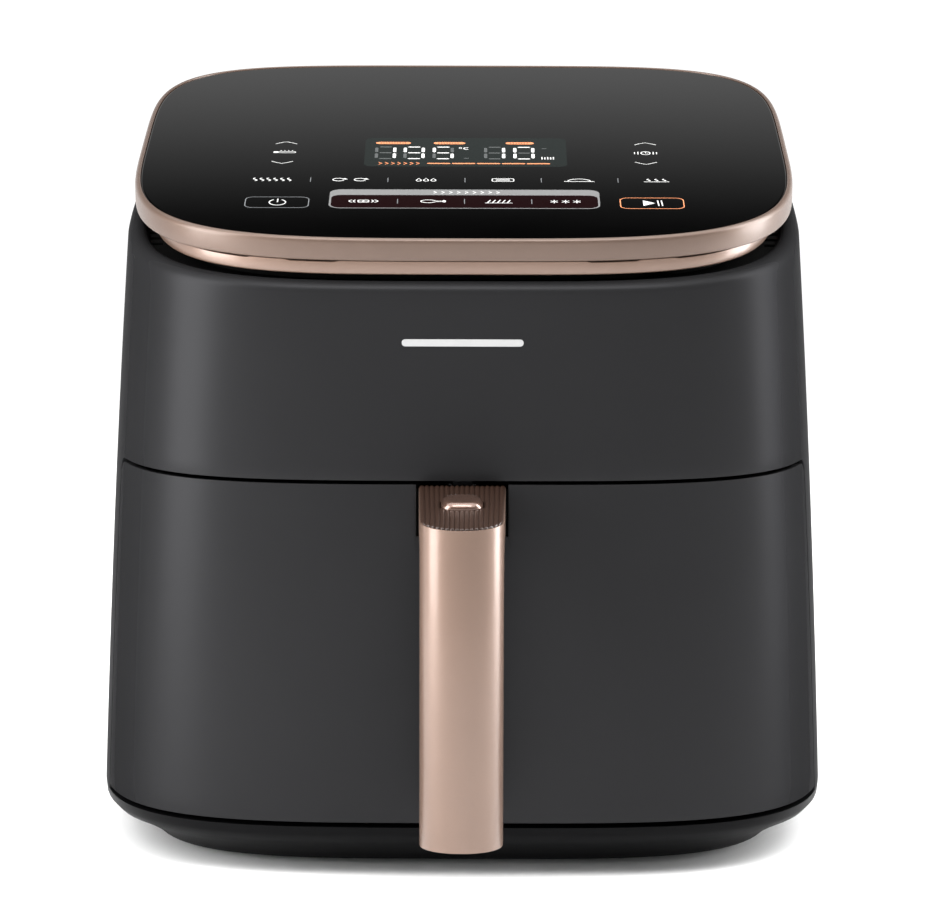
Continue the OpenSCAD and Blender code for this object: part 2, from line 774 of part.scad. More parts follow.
// The handle is a hanging grip joined to the drawer by a neck at its top
module handle_shell() {
    color("#b9988a") placed() difference() {
        intersection() {
            across(handle_x + 2) difference() {
                polygon([[-141, 139.9], [-141, cap_z(-141) - 0.9], [-215, cap_z(-215) - 0.9],
                    [-215, handle_z], [-184, handle_z], [-184, 126], [-170, 139.9]]);
                translate([-170, 125.9]) circle(14);
            }
            linear_extrude(big) grip_plan(0, -100);
        }
        intersection() {
            across(handle_x) polygon([[-120, cap_z(-120) - 3.1], [-215, cap_z(-215) - 3.1],
                [-215, 180], [-120, 180]]);
            linear_extrude(big) grip_plan(2.2, -100);
        }
        difference() {
            intersection() {
                box([-13.2, -200.5, handle_z + 3], [13.2, -170, 126]);
                linear_extrude(big) grip_plan(2.6, -100);
            }
            for (z = [45, 105]) translate([0, -210, z]) rotate([-90, 0, 0]) cylinder(r = 4, h = 23);
        }
        for (z = [45, 105]) translate([0, -197, z]) rotate([-90, 0, 0]) cylinder(r = 1.6, h = 20);
        across(5) polygon([[-197.4, 140.2], [-186, 140.2], [-186, 141.2], [-100, 141.2],
            [-100, 152.4], [-141, 151], [-170, 148.6], [-186, 148.5], [-197.4, 148.5]]);
        on_cap() {
            translate([0, 0, -5.6]) linear_extrude(20) key_plan(0.4);
            translate([0, 0, -9]) cylinder(r = 2.2, h = 10);
        }
        translate([-12, pivot_y, pivot_z]) rotate([0, 90, 0]) cylinder(r = pin_r, h = 24);
        for (x = [-screw_x, screw_x]) translate([x, -156, 148.5]) rotate([-90, 0, 0])
            cylinder(r = 1.2, h = 60);
    }
}

// A ribbed cap covers the top of the neck, round the key
module handle_cap() {
    reach = handle_x + 1;
    pitch = 2 * reach / rib_count;
    ribs = [for (k = [0 : rib_count - 1]) each
        [[k * pitch - reach, 2.3], [(k + 0.25) * pitch - reach, 3],
            [(k + 0.75) * pitch - reach, 3]]];
    color("#5f463b") placed() difference() {
        intersection() {
            translate([0, cap_back[0], cap_back[1] - 3]) rotate([cap_angle, 0, 0])
                translate([0, -1.2, 0]) rotate([90, 0, 0]) linear_extrude(80)
                polygon(concat([[reach, 2.3], [reach, 0], [-reach, 0]], ribs));
            union() {
                intersection() {
                    linear_extrude(big) grip_plan(0.3, -100);
                    across(big) polygon([[-120, cap_z(-120) - 0.8], [-215, cap_z(-215) - 0.8],
                        [-215, 180], [-120, 180]]);
                }
                linear_extrude(big) grip_plan(2.4, -100);
            }
        }
        on_cap() translate([0, 0, -10]) linear_extrude(20) key_plan(0.4);
    }
}

// The inner cover closes the back of the grip
module handle_back() {
    color("#1a1a1a") placed() difference() {
        box([-13, -187, handle_z + 3.2], [13, -184, 125.6]);
        for (z = [45, 105]) translate([0, -190, z]) rotate([-90, 0, 0]) {
            cylinder(r = 1.7, h = 12);
            translate([0, 0, 5]) cylinder(r = 2.6, h = 8);
        }
    }
}

// Two long screws hold the neck to the drawer's frame and two short ones hold the inner cover
module handle_screws() {
    color("silver") placed() {
        for (x = [-screw_x, screw_x]) translate([x, -126, 148.5]) rotate([-90, 0, 0])
            screw(1.2, 30, 2.2, 1);
        for (z = [45, 105]) translate([0, -185, z]) rotate([-90, 0, 0]) screw(1.6, 11, 2.4, 0.8);
    }
}

module latch_pin() {
    color("#cfd1d4") placed() translate([-11.8, pivot_y, pivot_z]) rotate([0, 90, 0])
        cylinder(r = pin_r, h = 23.6);
}

module sensor_magnet() {
    color("#8c8e91") placed() box([54, -134, 150], [66, -128, 157]);
}

// A short coil spring lifts the lever's tooth into the catch
module latch_spring() {
    turns = 4;
    steps = 14;
    top = lever_bottom(spring_y) - 0.5;
    color("#d5d7da") placed() tube([for (k = [0 : turns * steps])
        [2.9 * cos(360 * k / steps), spring_y + 2.9 * sin(360 * k / steps),
            138.9 + (top - 138.9) * k / (turns * steps)]], 0.35, 6);
}

// The release key is a rounded pad with a small foot that bears on the lever
module release_button() {
    color("#a98678") placed() difference() {
        on_cap() {
            translate([0, 0, -3.6]) linear_extrude(5.2) key_plan(0);
            translate([0, 0, 1.6]) linear_extrude(0.9) key_plan(-0.7);
            translate([0, 0, -12]) cylinder(r = 1.5, h = 10);
        }
        across(10) polygon([[-190, 100], [-150, 100],
            [-150, lever_bottom(-150) + 4.4], [-190, lever_bottom(-190) + 4.4]]);
    }
}

function lever_bottom(y) = 141.6 + (y - pivot_y) * lever_slope;

// The lever turns on a pin at the front of the grip, and its tooth drops when the key is pressed
module latch_lever() {
    back_y = tooth_y + 3.7;
    color("#35353a") placed() difference() {
        union() {
            across(4) polygon([[pivot_y, lever_bottom(pivot_y)], [back_y, lever_bottom(back_y)],
                [back_y, catch_z + 0.4], [tooth_y, 157], [tooth_y, lever_bottom(tooth_y) + 4.2],
                [pivot_y, lever_bottom(pivot_y) + 4.2]]);
            translate([-4, pivot_y, pivot_z]) rotate([0, 90, 0]) cylinder(r = 3.6, h = 8);
        }
        translate([-5, pivot_y, pivot_z]) rotate([0, 90, 0])
            cylinder(r = pin_r + running_gap, h = 10);
    }
}

// ---------------------------------------------------------------- crisper plate

module crisper_plate() {
    a = basket_a - 3;
    y0 = basket_front + 3;
    y1 = basket_back - 3;
    my = (y0 + y1) / 2;
    color("#2a2a2c") placed() difference() {
        union() {
            translate([0, 0, plate_z]) linear_extrude(plate_t) round_rect(-a, a, y0, y1, basket_r - 3);
        }
        translate([0, my, plate_z - 1]) for (i = [-5 : 5], j = [-5 : 5])
            if (abs(i) + abs(j) > 1 && abs(i) + abs(j) < 9)
                translate([i * 17, j * 17, 0]) cylinder(r = 3.4, h = 5, $fn = 24);
        translate([0, my, plate_z - 1]) linear_extrude(5) round_rect(-14, 14, -6, 6, 5.9);
    }
}

// Silicone pads clip over the plate's edge and keep it off the tub
module plate_bumpers() {
    a = basket_a - 3;
    y0 = basket_front + 3;
    y1 = basket_back - 3;
    my = (y0 + y1) / 2;
    pads = [[a - 3.5, my - 50, 90], [a - 3.5, my + 50, 90], [3.5 - a, my - 50, 90],
        [3.5 - a, my + 50, 90], [-45, y1 - 3.5, 0], [45, y1 - 3.5, 0], [-45, y0 + 3.5, 0],
        [45, y0 + 3.5, 0]];
    color("#47403c") placed() difference() {
        for (p = pads) translate([p[0], p[1], basket_z + 1.8]) rotate([0, 0, p[2]])
            linear_extrude(plate_z + plate_t + 1.6 - basket_z - 1.8) round_rect(-9, 9, -4.5, 4.5, 2);
        translate([0, 0, plate_z]) linear_extrude(plate_t) round_rect(-a, a, y0, y1, basket_r - 3);
    }
}

body_shell();
base_tray();
feet();
base_screws();
cavity_frame();
chamber_liner();
guide_rail(-1);  // guide_rail_left
guide_rail(1);  // guide_rail_right
heat_shield();
heater_coil();
heater_bushes();
heater_guard();
motor_bracket();
fan_motor();
motor_screws();
exhaust_duct();
rear_vent();
power_board();
thermal_cutout();
temp_probe();
drawer_sensor();
intake_deck();
deck_screws();
lid_tray();
lid_trim_ring();
lid_trim_band();
touch_glass();
display_module();
touch_board();
cord_gland();
wiring();
motor_shaft();
hot_fan();
cooling_fan();
fan_nut();
drawer_front();
drawer_frame();
basket();
basket_catch();
drawer_seal();
handle_shell();
handle_cap();
handle_back();
handle_screws();
latch_pin();
sensor_magnet();
latch_spring();
release_button();
latch_lever();
crisper_plate();
plate_bumpers();
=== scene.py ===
import bpy
import bmesh
import math
from mathutils import Vector, Matrix


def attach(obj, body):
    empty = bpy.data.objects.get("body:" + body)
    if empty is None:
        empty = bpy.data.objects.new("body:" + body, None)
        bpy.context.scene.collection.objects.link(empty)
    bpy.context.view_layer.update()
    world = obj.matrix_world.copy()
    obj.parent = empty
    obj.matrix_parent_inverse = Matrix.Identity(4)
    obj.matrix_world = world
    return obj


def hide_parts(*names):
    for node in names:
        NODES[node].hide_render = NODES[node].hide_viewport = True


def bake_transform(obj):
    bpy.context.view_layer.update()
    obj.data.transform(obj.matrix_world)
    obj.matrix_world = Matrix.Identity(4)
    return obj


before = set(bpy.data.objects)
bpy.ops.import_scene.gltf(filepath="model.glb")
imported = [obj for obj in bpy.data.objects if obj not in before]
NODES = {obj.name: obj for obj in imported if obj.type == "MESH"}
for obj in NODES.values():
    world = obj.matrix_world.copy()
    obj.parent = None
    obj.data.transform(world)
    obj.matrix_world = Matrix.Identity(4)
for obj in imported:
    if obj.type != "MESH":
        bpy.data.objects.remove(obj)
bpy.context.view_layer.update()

# ------------------------------------------------------------------ camera
# The housing's axis stands this far behind the frame's origin, in millimetres.
SHIFT = 23.0


def P(x, y, z):
    """A point given in millimetres about the housing's own axis."""
    return Vector((x / 1000, (y + SHIFT) / 1000, z / 1000))


# The camera's place in millimetres, its angles in radians and its lens in millimetres.
CAMERA_AT = (5.5, -1886.1, 465.6)
CAMERA_YAW, CAMERA_PITCH, CAMERA_ROLL = 0.0029, -0.169, 0.0025
CAMERA_LENS, SENSOR_WIDTH = 173.98, 36
CLIP_NEAR, CLIP_FAR = 0.05, 60

camera = bpy.data.objects.new("camera", bpy.data.cameras.new("camera"))
bpy.context.scene.collection.objects.link(camera)
camera.location = P(*CAMERA_AT)
turn = (Matrix.Rotation(CAMERA_YAW, 4, "Z") @ Matrix.Rotation(math.pi / 2 + CAMERA_PITCH, 4, "X")
        @ Matrix.Rotation(CAMERA_ROLL, 4, "Z"))
camera.rotation_euler = turn.to_euler()
camera.data.lens = CAMERA_LENS
camera.data.sensor_width = SENSOR_WIDTH
camera.data.clip_start = CLIP_NEAR
camera.data.clip_end = CLIP_FAR
bpy.context.scene.camera = camera

# ------------------------------------------------------------------ sizes in millimetres, as in the CAD source
# The housing: its width, its depth as a share of the width, and the power of its rounded-square plan.
BODY_W, DEPTH, BODY_N = 300.0, 0.993, 3.9
# Its sides lean in by these shares of the height above the base, and of that height's square.
LEAN, CURVE = 0.033, 0.00007
# The base's rim, the drawer's seam, and how far back the drawer's side seams lie.
BASE_TOP, SEAM_Z, SIDE_Y = 20.8, 159.6, -85.0
# The lid: the height of the glass's centre, its slope, and half its width and depth.
LID_Z, TILT, LID_A, LID_B = 278.8, math.radians(9.57), 136.2, 139.6
RIM_Z = LID_Z - 20
# The grip: half its width, its front, its low end, the depth of its round nose and that nose's power.
HANDLE_X, HANDLE_Y, HANDLE_Z = 16.25, -206.0, 25.1
NOSE, NOSE_N = 15, 2.1
# The cap's sloping top runs between these (y, z) points, from the housing to the nose.
CAP_BACK, CAP_FRONT = (-140.0, 158.4), (-204.0, 152.95)
CAP_ANGLE = math.atan((CAP_BACK[1] - CAP_FRONT[1]) / (CAP_BACK[0] - CAP_FRONT[0]))
CAP_REAR_Y = -141.2
# The release key's centre and half its size; a gap runs round it.
BUTTON_Y = -170.0
KEY_HALF_X, KEY_HALF_Y, KEY_GAP = 8.3, 8.5, 0.4


def half_w(z):
    """Half the housing's width at a height."""
    return BODY_W / 2 - LEAN * (z - BASE_TOP) - CURVE * (z - BASE_TOP) ** 2


def spow(v, p):
    """A power that keeps the sign of its base."""
    return math.copysign(abs(v) ** p, v)


class Outline:
    """A closed curve that can be read at any distance along it, from its front centre towards +X."""

    def __init__(self, a, front, back, n_front, n_back, steps=2400):
        self.pts = []
        for i in range(steps):
            t = -math.pi / 2 + 2 * math.pi * i / steps
            n, b = (n_front, front) if math.sin(t) < 0 else (n_back, back)
            self.pts.append((a * spow(math.cos(t), 2 / n), b * spow(math.sin(t), 2 / n)))
        self.pts.append(self.pts[0])
        self.run = [0.0]
        for p, q in zip(self.pts, self.pts[1:]):
            self.run.append(self.run[-1] + math.dist(p, q))
        self.length = self.run[-1]

    def at(self, s):
        """The point at a distance along the curve."""
        s %= self.length
        lo, hi = 0, len(self.run) - 1
        while hi - lo > 1:
            mid = (lo + hi) // 2
            if self.run[mid] <= s:
                lo = mid
            else:
                hi = mid
        f = (s - self.run[lo]) / max(self.run[hi] - self.run[lo], 1e-12)
        (x0, y0), (x1, y1) = self.pts[lo], self.pts[hi]
        return x0 + (x1 - x0) * f, y0 + (y1 - y0) * f

    def where_y(self, y):
        """The distance along the +X side at which the curve reaches this y."""
        lo, hi = 0.0, self.length / 2
        for _ in range(40):
            mid = (lo + hi) / 2
            if self.at(mid)[1] < y:
                lo = mid
            else:
                hi = mid
        return lo

    def ring(self, count):
        """Points at even distances along the whole curve."""
        return [self.at(self.length * i / count) for i in range(count)]


UNIT = Outline(1, 1, 1, BODY_N, BODY_N)


def lid_outline(inset):
    """The upper ring's outline, set in by a distance."""
    return Outline(LID_A - inset, LID_B - inset, LID_B - inset, 3.65, 4.8)


def band_outline(inset):
    """The lower band's outline, which is narrower than the ring's and shorter at the back."""
    return Outline(LID_A - 8.2 - inset, LID_B - inset, LID_B - 8 - inset, 4, 4.4)


def on_lid(x, y, drop):
    """A point in the lid's sloping plane, a depth below the lid's top."""
    c, s = math.cos(TILT), math.sin(TILT)
    return P(x, y * c + drop * s, LID_Z + y * s - drop * c)


def on_cap(x, y, up):
    """A point in the handle cap's sloping plane about the key, a height above it."""
    c, s = math.cos(CAP_ANGLE), math.sin(CAP_ANGLE)
    z = CAP_BACK[1] + (BUTTON_Y - CAP_BACK[0]) * math.tan(CAP_ANGLE)
    return P(x, BUTTON_Y + y * c - up * s, z + y * s + up * c)


# ------------------------------------------------------------------ mesh helpers
# Edges sharper than this, in degrees, stay crisp on the housing's and the drawer's skin.
SKIN_ANGLE = 35


def shade(mesh, angle):
    """Smooth shading, with edges sharper than an angle in degrees kept crisp."""
    for poly in mesh.polygons:
        poly.use_smooth = True
    mesh.set_sharp_from_angle(angle=math.radians(angle))


def add_object(name, bm, material, angle=30.0):
    """Turns a bmesh into a smooth-shaded object, and frees the bmesh."""
    bmesh.ops.recalc_face_normals(bm, faces=bm.faces)
    mesh = bpy.data.meshes.new(name)
    bm.to_mesh(mesh)
    bm.free()
    shade(mesh, angle)
    obj = bpy.data.objects.new(name, mesh)
    bpy.context.scene.collection.objects.link(obj)
    if material:
        mesh.materials.append(material)
    return obj


def loft(bm, rings, wrap=False, caps=True):
    """Skins a stack of closed rings with quads. wrap joins the last ring to the first."""
    rows = [[bm.verts.new(p) for p in ring] for ring in rings]
    n = len(rows[0])
    pairs = list(zip(rows, rows[1:])) + ([(rows[-1], rows[0])] if wrap else [])
    for a, b in pairs:
        for i in range(n):
            j = (i + 1) % n
            bm.faces.new((a[i], a[j], b[j], b[i]))
    if caps and not wrap:
        bm.faces.new(list(reversed(rows[0])))
        bm.faces.new(rows[-1])
    return rows


def prism(bm, points, where, low, high):
    """A closed prism over a flat outline; where turns (x, y, height) into a point."""
    loft(bm, [[where(x, y, h) for x, y in points] for h in (low, high)])


def cutter(name, points, where, low, high):
    """A prism to cut another object with."""
    bm = bmesh.new()
    prism(bm, points, where, low, high)
    return add_object(name, bm, None)


def rounded(x0, x1, y0, y1, r, steps=10):
    """The outline of a rectangle with round corners."""
    corners = ((x1 - r, y1 - r, 0), (x0 + r, y1 - r, 90), (x0 + r, y0 + r, 180), (x1 - r, y0 + r, 270))
    pts = []
    for cx, cy, start in corners:
        for i in range(steps + 1):
            a = math.radians(start + 90 * i / steps)
            pts.append((cx + r * math.cos(a), cy + r * math.sin(a)))
    return pts


def circle(x, y, r, steps):
    angles = [2 * math.pi * i / steps for i in range(steps)]
    return [(x + r * math.cos(a), y + r * math.sin(a)) for a in angles]


def apply_modifiers(obj):
    """Bakes an object's modifiers into its mesh."""
    dg = bpy.context.evaluated_depsgraph_get()
    mesh = bpy.data.meshes.new_from_object(obj.evaluated_get(dg))
    obj.modifiers.clear()
    obj.data = mesh


def finish_edges(obj, width, segments, angle, smooth):
    """Rounds an object's sharp edges by a width in millimetres, and shades it smooth."""
    mod = obj.modifiers.new("round", "BEVEL")
    mod.width = width / 1000
    mod.segments = segments
    mod.limit_method = "ANGLE"
    mod.angle_limit = math.radians(angle)
    mod.miter_outer = "MITER_ARC"
    mod.use_clamp_overlap = True
    apply_modifiers(obj)
    shade(obj.data, smooth)


def thicken(obj, wall, width):
    """Gives an open skin a wall in metres, inwards, and rounds its edges by a width in millimetres."""
    mod = obj.modifiers.new("wall", "SOLIDIFY")
    mod.thickness = wall
    mod.offset = -1
    mod.use_even_offset = True
    apply_modifiers(obj)
    finish_edges(obj, width, 3, 50, SKIN_ANGLE)


def cut(obj, cutters, operation="DIFFERENCE"):
    """Combines an object with closed cutters, which are then removed."""
    for c in cutters:
        mod = obj.modifiers.new("cut", "BOOLEAN")
        mod.operation = operation
        mod.solver = "EXACT"
        mod.object = c
    apply_modifiers(obj)
    for c in cutters:
        bpy.data.objects.remove(c)


def place(obj, body, slot, *nodes):
    """Puts a finished piece on its body and hides the nodes it stands for; slot is not used."""
    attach(obj, body)
    if nodes:
        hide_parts(*nodes)


# Points nearer than this, in metres, are one; faces that meet flatter than this are one.
WELD_DISTANCE, FLAT_ANGLE = 0.000005, math.radians(0.5)


def smooth_copy(node, material, bevel=0.0, angle=32.0):
    """A welded copy of a CAD node with rounded edges and smooth shading, which stands for the node."""
    bm = bmesh.new()
    bm.from_mesh(NODES[node].data)
    bmesh.ops.remove_doubles(bm, verts=bm.verts, dist=WELD_DISTANCE)
    bmesh.ops.dissolve_limit(bm, angle_limit=FLAT_ANGLE, verts=bm.verts, edges=bm.edges)
    obj = add_object(node + "_finished", bm, material, angle)
    if bevel:
        finish_edges(obj, bevel, 2, 45.0, angle)
    # Flat faces stay flat beside their rounded edges
    even = obj.modifiers.new("even_shading", "WEIGHTED_NORMAL")
    even.keep_sharp = True
    even.weight = 100
    return obj


# ------------------------------------------------------------------ materials
class Nodes:
    """A material's node tree, built up by its methods."""

    def __init__(self, name):
        self.mat = bpy.data.materials.new(name)
        self.mat.use_nodes = True
        self.tree = self.mat.node_tree
        self.bsdf = self.tree.nodes["Principled BSDF"]

    def new(self, kind, **inputs):
        """A node with some of its inputs set."""
        node = self.tree.nodes.new(kind)
        for key, value in inputs.items():
            node.inputs[key.replace("_", " ")].default_value = value
        return node

    def link(self, a, b):
        self.tree.links.new(a, b)

    def coords(self, scale):
        tc = self.new("ShaderNodeTexCoord")
        mp = self.new("ShaderNodeMapping", Scale=scale)
        self.link(tc.outputs["Object"], mp.inputs["Vector"])
        return mp.outputs["Vector"]

    def noise(self, scale, detail, rough=0.5, stretch=(1, 1, 1)):
        n = self.new("ShaderNodeTexNoise", Scale=scale, Detail=detail, Roughness=rough)
        self.link(self.coords(stretch), n.inputs["Vector"])
        return n.outputs["Fac"]

    def remap(self, value, low, high, out_low, out_high):
        n = self.new("ShaderNodeMapRange", From_Min=low, From_Max=high, To_Min=out_low, To_Max=out_high)
        self.link(value, n.inputs["Value"])
        return n.outputs["Result"]

    def mix(self, fac, a, b):
        n = self.new("ShaderNodeMix")
        n.data_type = "RGBA"
        self.link(fac, n.inputs[0])
        n.inputs[6].default_value = (*a, 1)
        n.inputs[7].default_value = (*b, 1)
        return n.outputs[2]

    def bump(self, height, distance, strength):
        n = self.new("ShaderNodeBump", Distance=distance, Strength=strength)
        self.link(height, n.inputs["Height"])
        return n.outputs["Normal"]


def lin(*rgb):
    """An sRGB colour, 0 to 255, as linear values."""
    return tuple((c / 255 / 12.92) if c <= 10 else ((c / 255 + 0.055) / 1.055) ** 2.4 for c in rgb)


def surface(name, colour, spread=0.06, rough=0.5, rough_spread=0.05, metallic=0.0, grain=900.0,
            depth=0.00002, strength=0.3, stretch=(1, 1, 1), coat=0.0, coat_rough=0.1, coat_ior=1.5,
            specular=0.5, blotch=14.0, glow=None, glow_strength=0.0, edge=1.0):
    """A painted, moulded or metal surface: broad and fine colour variation, and a fine grain in relief.

    spread and rough_spread are how far the colour and the gloss vary, grain and blotch the scales of
    the fine and broad variation, and edge how bright a metal's reflection is at a grazing angle."""
    m = Nodes(name)
    broad = m.noise(blotch, 3.0)
    fine = m.noise(grain, 2.0, 0.6, stretch)
    low = tuple(c * (1 - spread) for c in colour)
    high = tuple(min(1, c * (1 + spread)) for c in colour)
    m.link(m.mix(m.remap(broad, 0.3, 0.7, 0, 1), low, high), m.bsdf.inputs["Base Color"])
    m.link(m.remap(fine, 0.3, 0.7, rough - rough_spread, rough + rough_spread), m.bsdf.inputs["Roughness"])
    m.link(m.bump(fine, depth, strength), m.bsdf.inputs["Normal"])
    m.bsdf.inputs["Metallic"].default_value = metallic
    m.bsdf.inputs["Specular IOR Level"].default_value = specular
    m.bsdf.inputs["Specular Tint"].default_value = (edge, edge, edge, 1)
    m.bsdf.inputs["Coat Weight"].default_value = coat
    m.bsdf.inputs["Coat Roughness"].default_value = coat_rough
    m.bsdf.inputs["Coat IOR"].default_value = coat_ior
    if glow:
        m.bsdf.inputs["Emission Color"].default_value = (*glow, 1)
        m.bsdf.inputs["Emission Strength"].default_value = glow_strength
    return m.mat


BODY = surface("body_satin", lin(41, 41, 42), 0.03, 0.36, 0.03, metallic=0.45, grain=2600, depth=0.000012,
               strength=0.25, specular=0.0, edge=0.25)
BASE = surface("base_black", lin(11, 11, 12), 0.05, 0.45, 0.04, grain=2200, specular=0.05)
BLACK = surface("inner_black", lin(11, 11, 11), 0.08, 0.62, 0.06, grain=1500, specular=0.08)
RUBBER = surface("foot_rubber", lin(22, 22, 22), 0.1, 0.85, 0.05, grain=1200, depth=0.00005, specular=0.2)
ROSE = surface("rose_metal", lin(116, 93, 80), 0.03, 0.42, 0.05, metallic=0.45, grain=1500,
               depth=0.000012, strength=0.3, blotch=30, coat=0.65, coat_rough=0.2, coat_ior=1.5)
# The ring's rose metal made darker: painted shade for the ring's face, which catches less light than the lower band.
RING_PAINTED_SHADE = surface("ring_metal_painted_shade", lin(92, 73, 62), 0.03, 0.45, 0.05, metallic=0.45, grain=1500,
               depth=0.000012, strength=0.3, blotch=30, coat=0.45, coat_rough=0.24, coat_ior=1.5)
KEY = surface("key_metal", lin(112, 86, 74), 0.03, 0.3, 0.04, metallic=0.7, grain=1800, depth=0.00001,
              strength=0.3, coat=1.0, coat_rough=0.06, coat_ior=1.6)
STEEL = surface("screw_steel", lin(190, 191, 193), 0.05, 0.3, 0.08, metallic=1.0, grain=1400)
ALUMINIUM = surface("shield_aluminium", lin(200, 202, 205), 0.05, 0.34, 0.08, metallic=1.0, grain=600,
                    stretch=(0.1, 1, 1))
HEATER = surface("heater_steel", lin(118, 110, 104), 0.2, 0.45, 0.1, metallic=1.0, grain=500)
CHROME = surface("guard_chrome", lin(215, 216, 218), 0.03, 0.16, 0.04, metallic=1.0, grain=800)
MOTOR = surface("motor_steel", lin(150, 151, 154), 0.06, 0.38, 0.08, metallic=1.0, grain=900)
CERAMIC = surface("bush_ceramic", lin(226, 219, 205), 0.05, 0.7, 0.05, grain=1500)
BOARD = surface("board_green", lin(24, 92, 50), 0.1, 0.4, 0.05, grain=700)
WHITE = surface("sensor_white", lin(220, 220, 216), 0.04, 0.5, 0.05, grain=1200)
WIRE = surface("wire_red", lin(165, 40, 30), 0.06, 0.5, 0.05, grain=1200)
COATING = surface("basket_coating", lin(50, 50, 52), 0.08, 0.4, 0.06, metallic=0.25, grain=1500,
                  depth=0.00003, strength=0.5)
LINER = surface("liner_steel", lin(62, 62, 64), 0.08, 0.42, 0.06, metallic=0.4, grain=1200)
CAP = surface("cap_brown", lin(49, 34, 27), 0.06, 0.36, 0.05, grain=1800, specular=0.4)
SILICONE = surface("bumper_silicone", lin(70, 62, 58), 0.08, 0.7, 0.05, grain=900, specular=0.3)
MAGNET = surface("magnet_grey", lin(120, 121, 124), 0.06, 0.4, 0.08, metallic=1.0, grain=900)
LEVER = surface("lever_grey", lin(60, 60, 64), 0.06, 0.5, 0.05, grain=1200)
MARK = surface("panel_white", lin(186, 186, 184), 0.01, 0.5, 0.02, glow=(1, 1, 1), glow_strength=0.3)
DIM = surface("panel_grey", lin(96, 98, 100), 0.02, 0.5, 0.02)
LIT = surface("panel_orange", lin(205, 126, 82), 0.02, 0.5, 0.02, glow=lin(226, 142, 92), glow_strength=0.12)
GHOST = surface("panel_ghost", lin(66, 69, 69), 0.02, 0.5, 0.02)
SHADE = surface("panel_shade", lin(120, 68, 44), 0.02, 0.5, 0.02)
WINDOW = surface("panel_window", lin(26, 30, 29), 0.02, 0.08, 0.01, specular=0.05)
MAROON = surface("panel_maroon", lin(16, 1, 2), 0.02, 0.08, 0.01, specular=0.05)
HEADER = surface("panel_header", lin(108, 108, 108), 0.03, 0.4, 0.02)
BADGE = surface("badge_grey", lin(168, 168, 168), 0.02, 0.4, 0.03, grain=1400)


def black_glass():
    """Deep black with faint smudges in the gloss."""
    m = Nodes("black_glass")
    smudge = m.noise(9.0, 4.0, 0.6)
    m.link(m.mix(m.remap(smudge, 0.3, 0.7, 0, 1), lin(1, 1, 1), lin(2, 2, 2)), m.bsdf.inputs["Base Color"])
    m.link(m.remap(smudge, 0.35, 0.75, 0.03, 0.045), m.bsdf.inputs["Roughness"])
    return m.mat


GLASS = black_glass()

# ------------------------------------------------------------------ housing
# The rim: the radius of its outer edge, and how far its inner lip stands from the skin.
RIM_R, LIP = 5.0, 8.0
# Each side of the drawer's seam stands this far from its middle.
SEAM_HALF = 0.8
# The vent's half width, half height, corner radius and centre height; the gland's x, z and radius.
VENT_X, VENT_H, VENT_R, VENT_Z = 58, 35, 12, 139
GLAND = (80, 45, 7)
# The cutters of both reach through the back between these y values.
BACK_Y = (120, 190)


def rim_top(cy):
    """The rim follows the lid's slope; cy is -1 at the front and 1 at the back."""
    return RIM_Z + math.tan(TILT) * DEPTH * half_w(RIM_Z) * cy


def skin_point(s, z, inset=0.0, lift=0.0):
    """A point on the housing's skin: s runs along the unit outline, z is its height."""
    cx, cy = UNIT.at(s)
    w = half_w(z)
    return P((w - inset) * cx, (DEPTH * w - inset) * cy, z + lift)


def border(z, top, side, radius):
    """Where a drawer seam with a round top corner lies at a height, as a distance along the unit outline."""
    y = side
    if z > top - radius:
        y -= radius - math.sqrt(max(0.0, radius ** 2 - (z - top + radius) ** 2))
    return UNIT.where_y(y / (DEPTH * half_w(z)))


def make_body():
    """The housing's skin goes all round above the drawer's seam, and is open at the front below it."""
    top, radius, base_gap, rim_drop = SEAM_Z + SEAM_HALF, 6.0, 0.3, 2.0
    rear, front, levels, arc_steps, low_levels = 250, 130, 14, 8, 16
    total = UNIT.length
    s_top = border(top, top, SIDE_Y, radius)
    ss = [s_top + (total - 2 * s_top) * k / rear for k in range(rear + 1)]
    ss += [total - s_top + 2 * s_top * k / front for k in range(1, front)]
    rims = [rim_top(UNIT.at(s)[1]) for s in ss]
    upper = []
    for k in range(levels + 1):
        upper.append([skin_point(s, top + (rim - rim_drop - top) * k / levels) for s, rim in zip(ss, rims)])
    edge = []
    for i in range(1, arc_steps + 1):
        phi = math.radians(90 * i / arc_steps)
        edge.append((RIM_R * (1 - math.cos(phi)), RIM_R * math.sin(phi) - rim_drop))
    edge += [(6.0, 2.92), (6.9, 2.5), (7.6, 1.8), (LIP, 0.8), (LIP, -1.6)]
    for inset, lift in edge:
        upper.append([skin_point(s, rim, inset, lift) for s, rim in zip(ss, rims)])
    bm = bmesh.new()
    above = loft(bm, upper, caps=False)[0][: rear + 1]
    heights = [top - radius * (1 - math.cos(math.radians(90 * i / arc_steps))) for i in range(1, arc_steps + 1)]
    fall = top - radius - BASE_TOP - base_gap
    heights += [top - radius - fall * i / low_levels for i in range(1, low_levels + 1)]
    for z in heights:
        b = border(z, top, SIDE_Y, radius)
        row = [bm.verts.new(skin_point(b + (total - 2 * b) * k / rear, z)) for k in range(rear + 1)]
        for k in range(rear):
            bm.faces.new((row[k], row[k + 1], above[k + 1], above[k]))
        above = row
    obj = add_object("body_shell_finished", bm, BODY)
    thicken(obj, 0.0026, 0.45)
    vent = rounded(-VENT_X, VENT_X, -VENT_H, VENT_H, VENT_R)
    cut(obj, [cutter("cutter_vent", vent, lambda x, y, h: P(x, h, VENT_Z + y), *BACK_Y),
              cutter("cutter_gland", circle(*GLAND, 48), lambda x, y, h: P(x, h, y), *BACK_Y)])
    shade(obj.data, SKIN_ANGLE)
    place(obj, "housing", "body_satin", "body_shell")


make_body()
place(smooth_copy("base_tray", BASE, angle=50), "housing", "base_black", "base_tray")


